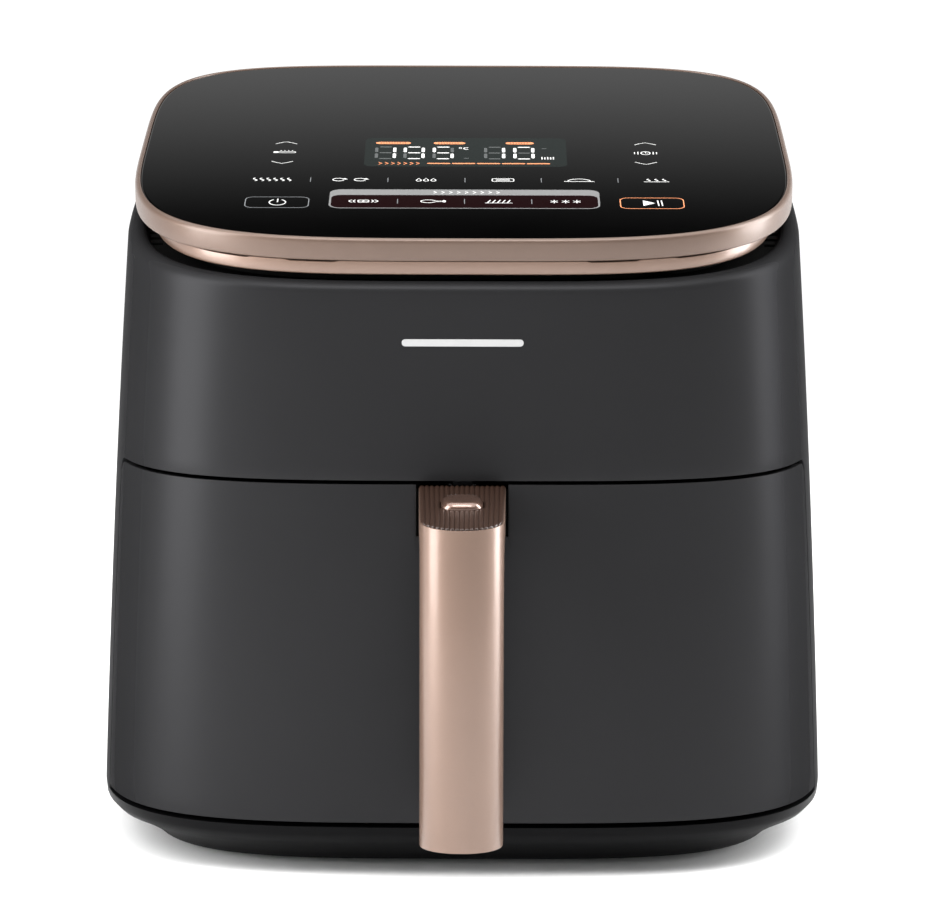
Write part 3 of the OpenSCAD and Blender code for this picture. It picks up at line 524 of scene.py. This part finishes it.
# ------------------------------------------------------------------ drawer front
def make_drawer_front():
    """The drawer's skin, with a notch in its top edge where the handle's neck goes through."""
    low, top, radius = BASE_TOP + 2.0, SEAM_Z - SEAM_HALF, 5.2
    notch_x, notch_z = HANDLE_X + 2, 138.0
    inner, outer = 6, 110
    heights = [low + (notch_z - low) * i / 16 for i in range(17)]
    heights += [notch_z + (top - radius - notch_z) * i / 3 for i in range(1, 4)]
    heights += [top - radius + radius * math.sin(math.radians(90 * i / 8)) for i in range(1, 9)]
    bm = bmesh.new()
    rows = []
    for z in heights:
        s_notch = notch_x / half_w(z)
        s_end = border(z, top, SIDE_Y - SEAM_HALF, radius)
        ss = [-s_end + (s_end - s_notch) * k / outer for k in range(outer)]
        ss += [-s_notch + 2 * s_notch * k / inner for k in range(inner)]
        ss += [s_notch + (s_end - s_notch) * k / outer for k in range(outer + 1)]
        rows.append([bm.verts.new(skin_point(s, z)) for s in ss])
    for z, a, b in zip(heights, rows, rows[1:]):
        for k in range(len(a) - 1):
            in_notch = z >= notch_z - 0.01 and outer <= k < outer + inner
            if not in_notch:
                bm.faces.new((a[k], a[k + 1], b[k + 1], b[k]))
    bmesh.ops.delete(bm, geom=[v for v in bm.verts if not v.link_faces], context="VERTS")
    obj = add_object("drawer_front_finished", bm, BODY)
    thicken(obj, 0.003, 0.5)
    place(obj, "drawer", "body_satin", "drawer_front")


make_drawer_front()


# ------------------------------------------------------------------ lid
def sweep(name, outline, section, material, count=360, notch=None):
    """A closed ring whose cross-section is given as (inset, drop) pairs; notch says how much its points dip."""
    rings = []
    for inset, drop in section:
        ring = outline(inset).ring(count)
        rings.append([on_lid(x, y, drop + (notch(x, y, drop) if notch else 0)) for x, y in ring])
    bm = bmesh.new()
    loft(bm, rings, wrap=True)
    return add_object(name, bm, material, 34)


RING_SECTION = [(2.2, 0.6), (2.12, 0.2), (1.9, 0.0), (1.5, 0.0), (1.05, 0.12), (0.62, 0.42), (0.28, 0.88),
                (0.08, 1.4), (0.0, 2.0), (0.0, 8.5), (0.06, 8.75), (0.22, 8.94), (0.45, 9.0), (2.2, 9.0)]
BAND_SECTION = [(2.4, 9.1), (0.3, 9.1), (0.08, 9.17), (0.0, 9.35), (0.0, 13.9), (0.1, 14.25), (0.35, 14.5),
                (0.7, 14.6), (2.4, 14.6)]
GLASS_SECTION = [(2.45, 3.4), (2.45, 0.7), (2.52, 0.52), (2.7, 0.42), (3.1, 0.42), (9, 0.42)]


# The slits lie between these distances from the middle, in the front of the band's top edge.
SLITS = ((50, 69), (85, 113))


def slit(x, y, drop):
    """How much a point of the lower band dips for a slit."""
    if drop < 10 and y < -60 and any(x0 <= abs(x) <= x1 for x0, x1 in SLITS):
        return 0.5
    return 0.0


ring = sweep("lid_trim_ring_finished", lid_outline, RING_SECTION, RING_PAINTED_SHADE)
place(ring, "housing", "rose_metal", "lid_trim_ring")
band = sweep("lid_trim_band_finished", band_outline, BAND_SECTION, ROSE, 420, slit)
place(band, "housing", "rose_metal", "lid_trim_band")


def make_glass():
    """The glass lies a little lower than the ring round it."""
    bm = bmesh.new()
    loft(bm, [[on_lid(x, y, drop) for x, y in lid_outline(inset).ring(360)] for inset, drop in GLASS_SECTION])
    place(add_object("touch_glass_finished", bm, GLASS, 40), "housing", "black_glass", "touch_glass")


make_glass()
place(smooth_copy("lid_tray", BLACK, angle=35), "housing", "inner_black", "lid_tray")


# ------------------------------------------------------------------ marks on the glass
# How far below the lid's top the print and the fields under it lie, and how thick the print is.
PRINT, UNDER, INK = 0.40, 0.41, 0.04


def strip(bm, points, drop=PRINT, thick=INK):
    """A thin flat shape laid on the glass."""
    prism(bm, points, on_lid, drop, drop - thick)


def stroke(bm, points, width, drop=PRINT, closed=False):
    """A line of even width along points, laid on the glass."""
    pts = [Vector(p) for p in points]
    n = len(pts)
    sides = []
    for i, p in enumerate(pts):
        before = pts[i - 1] if i or closed else p
        after = pts[(i + 1) % n] if i < n - 1 or closed else p
        d = (after - before).normalized()
        off = Vector((-d.y, d.x)) * width / 2
        sides.append((p + off, p - off))
    low, high = ([[bm.verts.new(on_lid(q.x, q.y, h)) for q in pair] for pair in sides]
                 for h in (drop, drop - INK))
    for i in range(n if closed else n - 1):
        j = (i + 1) % n
        bm.faces.new((high[i][0], high[i][1], high[j][1], high[j][0]))
        bm.faces.new((low[i][1], low[i][0], low[j][0], low[j][1]))
        bm.faces.new((low[i][0], high[i][0], high[j][0], low[j][0]))
        bm.faces.new((high[i][1], low[i][1], low[j][1], high[j][1]))
    if not closed:
        for i in (0, n - 1):
            bm.faces.new((low[i][0], low[i][1], high[i][1], high[i][0]))


def arc(x, y, rx, ry, start, end, steps):
    """Points on part of an ellipse, between two angles in degrees."""
    angles = [math.radians(start + (end - start) * i / steps) for i in range(steps + 1)]
    return [(x + rx * math.cos(a), y + ry * math.sin(a)) for a in angles]


def bar(x, y, w, h, upright):
    """One bar of a digit, with pointed ends."""
    if upright:
        t = w / 2
        return [(x - t, y - h / 2 + t), (x, y - h / 2), (x + t, y - h / 2 + t),
                (x + t, y + h / 2 - t), (x, y + h / 2), (x - t, y + h / 2 - t)]
    t = h / 2
    return [(x - w / 2, y), (x - w / 2 + t, y - t), (x + w / 2 - t, y - t),
            (x + w / 2, y), (x + w / 2 - t, y + t), (x - w / 2 + t, y + t)]


# Which bars each digit lights, and where the bars lie, as shares of a digit's width and height.
DIGITS = {"0": "abcdef", "1": "bc", "5": "acdfg", "9": "abcdfg"}
BARS = {"a": (0, 0.5), "g": (0, 0), "d": (0, -0.5),
        "b": (0.5, 0.25), "c": (0.5, -0.25), "f": (-0.5, 0.25), "e": (-0.5, -0.25)}
# Each layer of marks, with its material and its slot.
LAYERS = {"white": (MARK, "sensor_white"), "grey": (DIM, "sensor_white"), "orange": (LIT, "display_dark"),
          "ghost": (GHOST, "display_dark"), "window": (WINDOW, "display_dark"), "shade": (SHADE, "display_dark"),
          "maroon": (MAROON, "display_dark"), "header": (HEADER, "sensor_white")}
layers = {name: bmesh.new() for name in LAYERS}
WHITE_INK, GREY_INK, ORANGE_INK = layers["white"], layers["grey"], layers["orange"]


def digit(char, x, y=-9.5, w=7.55, h=18.4):
    """A seven-bar digit; bars that aren't lit go to the ghost layer."""
    for key, (right, up) in BARS.items():
        size = (1.35, h / 2 - 1.9) if right else (w - 2.1, 1.25)
        ink = layers["white" if key in DIGITS[char] else "ghost"]
        strip(ink, bar(x + right * w, y + up * h, *size, bool(right)))


strip(layers["window"], rounded(-41.7, 43, -31.0, 14.5, 4), UNDER + 0.005, 0.02)
for char, x in zip("19510", (-33.0, -21.0, -8.8, 12.8, 25.1)):
    digit(char, x)
# degree sign, and a small scale for the minutes
stroke(WHITE_INK, arc(-1.6, -1.7, 0.5, 0.9, 0, 330, 11), 0.36, closed=True)
stroke(WHITE_INK, arc(1.0, -2.4, 1.15, 1.5, 50, 310, 12), 0.5)
stroke(layers["ghost"], [(-0.1, -17.9), (2.0, -17.9)], 0.8)
for k in range(5):
    stroke(WHITE_INK, [(32.6 + 1.2 * k, -19.4), (32.6 + 1.2 * k, -15.6 - 0.6 * (k % 2))], 0.5)
stroke(layers["ghost"], [(32.6, -2.4), (34.6, -2.4)], 0.8)
for x0, x1 in ((-37.3, -22.6), (-12.9, 0.4), (17.5, 29.4)):
    strip(ORANGE_INK, rounded(x0, x1, 4.5, 7.7, 1.5))
    for k in range(int((x1 - x0 - 3.0) / 1.15)):
        block = rounded(x0 + 1.9 + 1.15 * k, x0 + 2.45 + 1.15 * k, 5.3, 6.9, 0.2, 2)
        strip(layers["shade"], block, PRINT - 0.045, 0.01)
for k in range(5):
    strip(ORANGE_INK, rounded(-15.4 + 10.4 * k, -5.7 + 10.4 * k, -26.8, -25.4, 0.6))
for k in range(7):
    stroke(ORANGE_INK, [(-35.5 + 2.6 * k, -27.8), (-34.2 + 2.6 * k, -26.1), (-35.5 + 2.6 * k, -24.4)], 0.45)
# the two pairs of arrows, with a thermometer and a clock between them
for x in (-75.2, 76.5):
    stroke(WHITE_INK, [(x - 4.5, 4.2), (x - 2.3, 6.1), (x, 7.6), (x + 2.3, 6.1), (x + 4.5, 4.2)], 0.36)
    x -= 0.6
    stroke(WHITE_INK, [(x - 4.5, -23.2), (x - 2.3, -25.2), (x, -26.7), (x + 2.3, -25.2), (x + 4.5, -23.2)], 0.36)
strip(WHITE_INK, circle(-79.0, -9.0, 1.25, 16))
stroke(WHITE_INK, [(-77.9, -8.0), (-71.6, -8.0)], 0.4)
stroke(WHITE_INK, [(-77.9, -10.0), (-71.6, -10.0)], 0.4)
stroke(WHITE_INK, arc(-71.6, -9.0, 0.8, 1.0, -90, 90, 8), 0.4)
for k in range(4):
    stroke(WHITE_INK, [(-77.0 + 1.6 * k, -6.9), (-77.0 + 1.6 * k, -6.0)], 0.4)
stroke(WHITE_INK, arc(76.2, -9.0, 1.9, 2.5, 0, 345, 24), 0.45, closed=True)
stroke(WHITE_INK, [(76.2, -7.3), (76.2, -9.1), (77.3, -9.1)], 0.4)
for side in (-1, 1):
    for k in (0, 1):
        x = 76.2 + side * (3.2 + 1.4 * k)
        stroke(WHITE_INK, [(x, -11.0 + 0.5 * k), (x, -7.0 - 0.5 * k)], 0.42)


# ------------------------------------------------------------------ pictograms
# Each draws one pictogram about a point on the glass.
def wave(x, y, h, w=0.75):
    """A wavy upright line."""
    stroke(WHITE_INK, [(x + w * math.sin(2 * math.pi * i / 12), y - h / 2 + h * i / 12) for i in range(13)], 0.5)


def icon_heat(x, y):
    for k in range(6):
        wave(x - 7.0 + 2.8 * k, y, 4.4)


def icon_turn(x, y):
    for k in (-1, 1):
        cx = x + 4.4 * k
        stroke(WHITE_INK, arc(cx, y, 2.5, 2.0, 35, 325, 18), 0.5)
        strip(WHITE_INK, [(cx + 1.2, y + 0.3), (cx + 3.6, y + 0.4), (cx + 2.3, y + 2.1)])


def icon_drop(x, y):
    for k in (-1, 0, 1):
        cx = x + 3.0 * k
        stroke(WHITE_INK, [(cx, y + 2.3)] + arc(cx, y - 0.7, 1.0, 1.4, 30, -210, 14), 0.42, closed=True)


def icon_oven(x, y):
    stroke(WHITE_INK, rounded(x - 4.4, x + 4.4, y - 2.1, y + 2.1, 0.7, 3), 0.45, closed=True)
    stroke(WHITE_INK, [(x - 2.9, y - 0.7), (x + 2.9, y - 0.7)], 0.5)
    stroke(WHITE_INK, [(x - 2.9, y + 0.9), (x + 2.9, y + 0.9)], 0.5)


def icon_dome(x, y):
    stroke(WHITE_INK, arc(x, y - 1.5, 4.6, 3.4, 0, 180, 20), 0.48)
    stroke(WHITE_INK, [(x - 6.2, y - 1.9), (x + 6.2, y - 1.9)], 0.5)


def icon_cup(x, y):
    stroke(WHITE_INK, [(x - 5.2, y - 2.1), (x + 5.2, y - 2.1)], 0.5)
    for k in (-1, 0, 1):
        wave(x + 3.2 * k, y + 0.6, 3.0, 0.6)


def icon_fan(x, y):
    for k in range(4):
        a = math.radians(45 + 90 * k)
        blade = arc(x + 1.5 * math.cos(a), y + 1.3 * math.sin(a), 1.2, 0.9, 0, 345, 12)
        stroke(WHITE_INK, blade, 0.42, closed=True)
    for k, middle in ((-1, 180), (1, 0)):
        for r in (3.2, 5.0):
            stroke(WHITE_INK, arc(x + 0.8 * k, y, r, 2.6, middle - 42, middle + 42, 10), 0.45)


def icon_roast(x, y):
    stroke(WHITE_INK, arc(x - 1.4, y, 3.0, 2.1, 20, 340, 22), 0.5)
    stroke(WHITE_INK, [(x + 1.5, y + 0.5), (x + 4.6, y + 0.3)], 0.42)
    stroke(WHITE_INK, [(x + 1.5, y - 0.5), (x + 4.6, y - 0.3)], 0.42)
    for k in (-1, 1):
        strip(WHITE_INK, circle(x + 5.0, y + 0.7 * k, 0.75, 12))


def icon_grill(x, y):
    for k in range(5):
        stroke(WHITE_INK, [(x - 4.6 + 2.0 * k, y - 1.9), (x - 3.4 + 2.0 * k, y + 2.1)], 0.5)
    stroke(WHITE_INK, [(x - 5.6, y - 2.2), (x + 5.6, y - 2.2)], 0.5)


def icon_star(x, y):
    for cx in (x - 4.6, x, x + 4.6):
        for k in range(3):
            a = math.radians(90 + 60 * k)
            dx, dy = 1.7 * math.cos(a), 2.3 * math.sin(a)
            stroke(WHITE_INK, [(cx - dx, y - dy), (cx + dx, y + dy)], 0.4)


# The upper row of pictograms, with marks between them
for x, draw in ((-78.8, icon_heat), (-46.9, icon_turn), (-15.5, icon_drop), (16.1, icon_oven),
                (47.4, icon_dome), (79.2, icon_cup)):
    draw(x, -51.4)
for x in (-63.0, -31.2, 0.5, 31.9, 63.4):
    stroke(GREY_INK, [(x, -54.8), (x, -48.4)], 0.36)
# The lower row, on its dark field with a grey header
strip(layers["header"], rounded(-54.4, 55.2, -93.8, -66.0, 5.0), UNDER + 0.002, 0.02)
strip(layers["maroon"], rounded(-53.6, 54.4, -93.1, -74.3, 4.2), UNDER - 0.008, 0.02)
for x, draw in ((-40.5, icon_fan), (-12.8, icon_roast), (14.3, icon_grill), (41.3, icon_star)):
    draw(x, -83.5)
for x in (-26.7, 0.4, 27.6):
    stroke(GREY_INK, [(x, -87.0), (x, -80.2)], 0.36, PRINT - 0.01)
for k in range(9):
    stroke(WHITE_INK, [(-12.2 + 3.2 * k, -71.7), (-11.0 + 3.2 * k, -70.2), (-12.2 + 3.2 * k, -68.7)], 0.42)
# The two framed keys: power on the left, start and pause on the right
stroke(GREY_INK, rounded(-88.2, -62.6, -93.3, -77.7, 3.4, 6), 0.4, closed=True)
stroke(ORANGE_INK, rounded(63.4, 89.0, -93.3, -77.7, 3.4, 6), 0.42, closed=True)
stroke(WHITE_INK, arc(-75.2, -85.4, 3.3, 4.2, 118, 422, 26), 0.45)
stroke(WHITE_INK, [(-75.2, -85.2), (-75.2, -80.4)], 0.5)
strip(WHITE_INK, [(72.6, -89.2), (77.4, -85.3), (72.6, -81.4)])
for x in (78.7, 80.2):
    stroke(WHITE_INK, [(x + 0.15, -89.2), (x - 0.15, -81.4)], 0.5)

for name, (material, slot) in LAYERS.items():
    place(add_object("panel_" + name, layers[name], material), "housing", slot)


# ------------------------------------------------------------------ plain bar on the front
def make_badge():
    """A thin bar that follows the housing's curved front, in place of a mark."""
    low, high, half, sunk, proud = 213.6, 216.4, 24.0, -0.15, 0.12

    def on_front(x, z, out):
        """A point a distance out from the front."""
        w = half_w(z)
        return P(x, -DEPTH * w * (1 - abs(x / w) ** BODY_N) ** (1 / BODY_N) - out, z)

    bm = bmesh.new()
    prism(bm, rounded(-half, half, low, high, 1.35, 8), on_front, sunk, proud)
    place(add_object("front_bar", bm, BADGE), "housing", "sensor_white")


make_badge()


# ------------------------------------------------------------------ handle
def grip(inset, steps=72):
    """The grip's round front from above."""
    pts = []
    for i in range(steps + 1):
        t = math.pi + math.pi * i / steps
        pts.append(((HANDLE_X - inset) * spow(math.cos(t), 2 / NOSE_N),
                    HANDLE_Y + NOSE + (NOSE - inset) * spow(math.sin(t), 2 / NOSE_N)))
    return pts


def grip_plan(inset, back):
    """The grip's whole outline, with its neck back to the housing, which widens a little."""
    wide, neck = HANDLE_X + 1 - inset, CAP_BACK[0]
    return grip(inset) + [(wide, neck), (wide, back), (-wide, back), (-wide, neck)]


def cap_z(y):
    """The height of the cap's sloping top."""
    return CAP_BACK[1] + (y - CAP_BACK[0]) * math.tan(CAP_ANGLE)


def key_outline(grow, count=96):
    """The release key's outline about its own centre."""
    return Outline(KEY_HALF_X + grow, KEY_HALF_Y + grow, KEY_HALF_Y + grow, 3, 3).ring(count)


def side_cutter(name, side, half):
    """A cutter that runs along X over a side view of (y, z) points."""
    return cutter(name, side, lambda y, z, h: P(h, y, z), -half, half)


def make_handle():
    """The grip's plan cut to its side view, then hollowed for the cap, the key and the latch lever."""
    bm = bmesh.new()
    prism(bm, grip_plan(0, -120), P, 10, 200)
    obj = add_object("handle_shell_finished", bm, ROSE)
    back, front, heel, under_cap = -141, -215, -184, 0.9
    bend, bend_y, bend_z = 14, -170, 125.9
    side = [(back, 139.9), (back, cap_z(back) - under_cap), (front, cap_z(front) - under_cap),
            (front, HANDLE_Z), (heel, HANDLE_Z)]
    for i in range(17):
        a = math.radians(90 * i / 16)
        side.append((bend_y - bend * math.cos(a), bend_z + bend * math.sin(a)))
    cut(obj, [side_cutter("cutter_side", side, 30)], "INTERSECT")
    wide, nose = 13.2, -200.5
    hollow = [(max(-wide, min(wide, x)), max(nose, y)) for x, y in grip(2.6)] + [(wide, bend_y), (-wide, bend_y)]
    channel = [(-197.4, 140.2), (-186, 140.2), (-186, 141.2), (-130, 141.2), (-130, 151.4), (-141, 151),
               (-170, 148.6), (-186, 148.5), (-197.4, 148.5)]
    cut(obj, [cutter("cutter_pocket", grip_plan(2.2, -120), lambda x, y, h: P(x, y, cap_z(y) - 3.1 + h), 0, 20),
              cutter("cutter_hollow", hollow, P, HANDLE_Z + 3, 126),
              cutter("cutter_key", key_outline(KEY_GAP), on_cap, -5.6, 20),
              side_cutter("cutter_channel", channel, 5)])
    finish_edges(obj, 0.4, 3, 40, 32)
    place(obj, "drawer", "rose_metal", "handle_shell")


make_handle()


def make_cap():
    """The cap's ribs run front to back; each ends in a small round front."""
    ribs, per, rows, inset = 17, 12, 46, 0.3
    columns = ribs * per
    # How deep the grooves are at the front and on top, and the size of the rounded front edge
    groove_front, groove_top, edge_depth, edge_drop = 0.55, 0.6, 0.7, 0.45
    rib_power, row_power, skirt = 0.6, 1.7, 0.8

    def front_y(share):
        """The front of the cap at a share of its half width."""
        nose = max(0.0, 1 - abs(share) ** NOSE_N) ** (1 / NOSE_N)
        return HANDLE_Y + NOSE - (NOSE - inset) * nose

    def reach(y):
        """Half the cap's width, which grows a little towards the housing."""
        f = min(1.0, max(0.0, (y - HANDLE_Y - NOSE) / (CAP_BACK[0] - HANDLE_Y - NOSE)))
        return HANDLE_X - inset + f

    bm = bmesh.new()
    grid = []
    for r in range(rows + 1):
        v = 1 - (1 - r / rows) ** row_power
        row = []
        for k in range(columns + 1):
            share = -1 + 2 * k / columns
            bulge = abs(math.sin(math.pi * ribs * k / columns)) ** rib_power
            y1 = front_y(share) + groove_front * (1 - bulge)
            y = CAP_REAR_Y + (y1 - CAP_REAR_Y) * v
            edge = max(0.0, 1 - (y - y1) / edge_depth)
            fall = edge_drop * (1 - math.sqrt(max(0.0, 1 - edge * edge)))
            row.append(bm.verts.new(P(share * reach(y), y, cap_z(y) - groove_top * (1 - bulge) - fall)))
        grid.append(row)
    for a, b in zip(grid, grid[1:]):
        for k in range(columns):
            bm.faces.new((a[k], b[k], b[k + 1], a[k + 1]))
    outer = grid[0] + [row[-1] for row in grid[1:]] + grid[-1][-2::-1] + [row[0] for row in grid[-2:0:-1]]
    floor = []
    for v in outer:
        y = v.co.y * 1000 - SHIFT
        floor.append(bm.verts.new(P(v.co.x * 1000, y, cap_z(y) - skirt)))
    n = len(outer)
    for i in range(n):
        j = (i + 1) % n
        bm.faces.new((outer[i], outer[j], floor[j], floor[i]))
    bm.faces.new(floor)
    obj = add_object("handle_cap_finished", bm, CAP, 40)
    plug = cutter("cutter_body", grip_plan(2.4, CAP_REAR_Y), lambda x, y, h: P(x, y, cap_z(y) + h), -3.0, -0.7)
    cut(obj, [plug], "UNION")
    cut(obj, [cutter("cutter_cap", key_outline(KEY_GAP), on_cap, -12, 12)])
    shade(obj.data, 42)
    place(obj, "drawer", "cap_brown", "handle_cap")


make_cap()


def make_key():
    """The release key: a low block with a rounded top, as (inset, height) pairs."""
    section = [(0, -3.6), (0, -0.2), (0.1, 0.3), (0.35, 0.85), (0.75, 1.4), (1.25, 1.9), (1.75, 2.22),
               (2.25, 2.42), (2.8, 2.5), (3.3, 2.5), (4.2, 2.5)]
    bm = bmesh.new()
    loft(bm, [[on_cap(x, y, up) for x, y in key_outline(-inset)] for inset, up in section])
    place(add_object("release_button_finished", bm, KEY, 40), "release_key", "rose_metal", "release_button")


make_key()


# ------------------------------------------------------------------ basket
def make_basket():
    """A drawn tub: rounded floor, straight walls and a rolled rim."""
    half, front, back, corner_r, corner_min = 112.0, -112.0, 106.0, 38.0, 4.0
    corner, straight = 14, 18
    base, wall, bend = 30, 1.5, 10
    inner = bend - wall

    def ring(grow, z):
        """The tub's outline at a height; the last point of each corner starts a straight side."""
        pts = rounded(-half - grow, half + grow, front - grow, back + grow, max(corner_min, corner_r + grow), corner)
        row = []
        for i, (x0, y0) in enumerate(pts):
            x1, y1 = pts[(i + 1) % len(pts)]
            parts = straight if (i + 1) % (corner + 1) == 0 else 1
            row += [P(x0 + (x1 - x0) * k / parts, y0 + (y1 - y0) * k / parts, z) for k in range(parts)]
        return row

    section = []
    for i in range(7):
        phi = math.radians(90 * i / 6)
        section.append((-bend + bend * math.sin(phi), base + bend - bend * math.cos(phi)))
    section += [(0, 60), (0, 100), (0, 138), (0.3, 140.2), (1.2, 141.4), (2.4, 141.6), (3.0, 141.9), (3.2, 142.4),
                (3.0, 142.85), (2.4, 143.1), (0.6, 143.1), (-0.7, 142.6), (-wall, 141.2), (-wall, 100), (-wall, 60)]
    for i in range(7):
        phi = math.radians(90 - 90 * i / 6)
        section.append((-wall - inner + inner * math.sin(phi), base + wall + inner - inner * math.cos(phi)))
    bm = bmesh.new()
    loft(bm, [ring(grow, z) for grow, z in section])
    place(add_object("basket_finished", bm, COATING, 40), "drawer", "basket_coating", "basket")


make_basket()


# ------------------------------------------------------------------ heater and latch spring
def tube_along(name, route, radius, material, resolution):
    """A round bar along a route of points, with its radius in millimetres."""
    curve = bpy.data.curves.new(name, "CURVE")
    curve.dimensions = "3D"
    curve.bevel_depth = radius / 1000
    curve.bevel_resolution = resolution
    curve.use_fill_caps = True
    spline = curve.splines.new("POLY")
    spline.points.add(len(route) - 1)
    for point, p in zip(spline.points, route):
        point.co = (*p, 1)
    made = bpy.data.objects.new(name + "_curve", curve)
    bpy.context.scene.collection.objects.link(made)
    dg = bpy.context.evaluated_depsgraph_get()
    mesh = bpy.data.meshes.new_from_object(made.evaluated_get(dg))
    bpy.data.objects.remove(made)
    mesh.materials.clear()
    mesh.materials.append(material)
    for poly in mesh.polygons:
        poly.use_smooth = True
    obj = bpy.data.objects.new(name, mesh)
    bpy.context.scene.collection.objects.link(obj)
    return obj


def make_heater():
    """One smooth tube through both turns of the element, with its ends up through the heat shield."""
    level, cy, outer, inner, radius = 183.0, 6.0, 74, 60, 3.2

    def at(angle, r, h=level):
        a = math.radians(angle)
        return P(r * math.cos(a), cy + r * math.sin(a), h)

    route = [at(97, outer, h) for h in (214, 200, 187)] + [at(98.5, outer, 184)]
    route += [at(a, outer) for a in range(102, 434, 4)]
    route += [at(a, r) for a, r in ((436, 72.5), (437.5, 69.5), (437.5, 64.5), (436, 61.5))]
    route += [at(a, inner) for a in range(432, 100, -4)]
    route += [at(99, inner, 184)] + [at(97, inner, h) for h in (187, 200, 214)]
    obj = tube_along("heater_coil_finished", route, radius, HEATER, 4)
    place(obj, "housing", "heater_steel", "heater_coil")


make_heater()


def make_spring():
    """The latch's spring as one coiled tube, in place of its CAD node."""
    turns, per, cy, radius, low, rise = 4, 24, -131, 2.9, 138.9, 6.9
    route = []
    for k in range(turns * per + 1):
        a = 2 * math.pi * k / per
        route.append(P(radius * math.cos(a), cy + radius * math.sin(a), low + rise * k / (turns * per)))
    obj = tube_along("latch_spring_finished", route, 0.35, STEEL, 2)
    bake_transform(obj)
    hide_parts("latch_spring")


make_spring()

# ------------------------------------------------------------------ CAD nodes that stay, and rounded copies
for node, material, body, slot, bevel in (
        ("rear_vent", BASE, "housing", "base_black", 0.6),
        ("drawer_frame", BLACK, "drawer", "inner_black", 0.0),
        ("crisper_plate", COATING, "plate", "basket_coating", 0.35),
        ("plate_bumpers", SILICONE, "plate", "bumper_silicone", 0.5),
        ("handle_back", BLACK, "drawer", "inner_black", 0.3),
        ("cord_gland", RUBBER, "housing", "foot_rubber", 0.5),
        ("feet", RUBBER, "housing", "foot_rubber", 0.5),
        ("heat_shield", ALUMINIUM, "housing", "shield_aluminium", 0.0),
        ("basket_catch", STEEL, "drawer", "screw_steel", 0.2),
        ("drawer_seal", RUBBER, "drawer", "foot_rubber", 0.4),
        ("intake_deck", BLACK, "housing", "inner_black", 0.0)):
    place(smooth_copy(node, material, bevel), body, slot, node)

# These only get their final material.
for material, nodes in (
        (STEEL, ("base_screws", "motor_screws", "temp_probe", "deck_screws", "motor_shaft", "fan_nut",
                 "handle_screws", "latch_pin")),
        (BLACK, ("cavity_frame", "guide_rail_left", "guide_rail_right", "exhaust_duct", "cooling_fan")),
        (ALUMINIUM, ("motor_bracket", "hot_fan")),
        (CERAMIC, ("heater_bushes", "thermal_cutout")),
        (BOARD, ("power_board", "touch_board")),
        (LINER, ("chamber_liner",)), (CHROME, ("heater_guard",)), (MOTOR, ("fan_motor",)),
        (WHITE, ("drawer_sensor",)), (WINDOW, ("display_module",)), (WIRE, ("wiring",)),
        (MAGNET, ("sensor_magnet",)), (LEVER, ("latch_lever",))):
    for node in nodes:
        NODES[node].data.materials.clear()
        NODES[node].data.materials.append(material)


# ------------------------------------------------------------------ studio
def make_floor(half):
    """A large white floor that belongs to the studio, not to the object."""
    white = surface("floor_white", (0.93, 0.93, 0.93), 0.01, 0.6, 0.03, grain=60, depth=0.0001, specular=0.2)
    bm = bmesh.new()
    bmesh.ops.create_grid(bm, x_segments=1, y_segments=1, size=half)
    mesh = bpy.data.meshes.new("floor")
    bm.to_mesh(mesh)
    bm.free()
    mesh.materials.append(white)
    obj = bpy.data.objects.new("floor", mesh)
    bpy.context.scene.collection.objects.link(obj)


make_floor(1.25)

# The studio: bright up to about 25 degrees above the horizon, then dark, so that the glass shades off
# towards the front.
world = bpy.data.worlds.new("studio")
bpy.context.scene.world = world
world.use_nodes = True
tree = world.node_tree
direction = tree.nodes.new("ShaderNodeTexCoord")
split = tree.nodes.new("ShaderNodeSeparateXYZ")
ramp = tree.nodes.new("ShaderNodeValToRGB")
tree.links.new(direction.outputs["Generated"], split.inputs[0])
tree.links.new(split.outputs["Z"], ramp.inputs["Fac"])
tree.links.new(ramp.outputs["Color"], tree.nodes["Background"].inputs["Color"])
# The background's strength, and how bright the studio is at each elevation in degrees
GLOW = 1.1
ELEVATIONS = ((23.5, 0.38), (24.0, 0.31), (24.5, 0.21), (25.0, 0.11), (25.25, 0.066), (25.5, 0.03),
              (25.7, 0.01), (26.0, 0.001))
stops = [(0, 1.0), (0.17, 0.75)]
stops += [(math.sin(math.radians(degrees)), level / GLOW) for degrees, level in ELEVATIONS]
while len(ramp.color_ramp.elements) < len(stops):
    ramp.color_ramp.elements.new(0.5)
for element, (at, level) in zip(ramp.color_ramp.elements, stops):
    element.position = at
    element.color = (level, level, level, 1)
tree.nodes["Background"].inputs["Strength"].default_value = GLOW


# A softbox's power for each square metre and unit of brightness
POWER = 4


def light(name, size, azimuth, distance, height, radiance, aim=(0, -0.15, 0.15)):
    """A softbox at an azimuth about the object, in degrees from straight in front towards +X."""
    data = bpy.data.lights.new(name, "AREA")
    data.shape = "RECTANGLE"
    data.size, data.size_y = size
    data.energy = radiance * size[0] * size[1] * POWER
    obj = bpy.data.objects.new(name, data)
    bpy.context.scene.collection.objects.link(obj)
    a = math.radians(azimuth)
    obj.location = (aim[0] + distance * math.sin(a), aim[1] - distance * math.cos(a), height)
    obj.rotation_euler = (Vector(aim) - obj.location).to_track_quat("-Z", "Y").to_euler()


light("ceiling", (4.2, 4.2), 180, 0.02, 2.6, 2.0, (0, 0, 0))
light("top", (0.9, 0.5), 0, 0.5, 1.3, 5.0)
light("left", (0.5, 0.9), -74, 0.8, 0.45, 7.8)
light("right", (0.45, 0.9), 106, 0.8, 0.45, 8.0)

bpy.context.scene.view_settings.view_transform = "Standard"
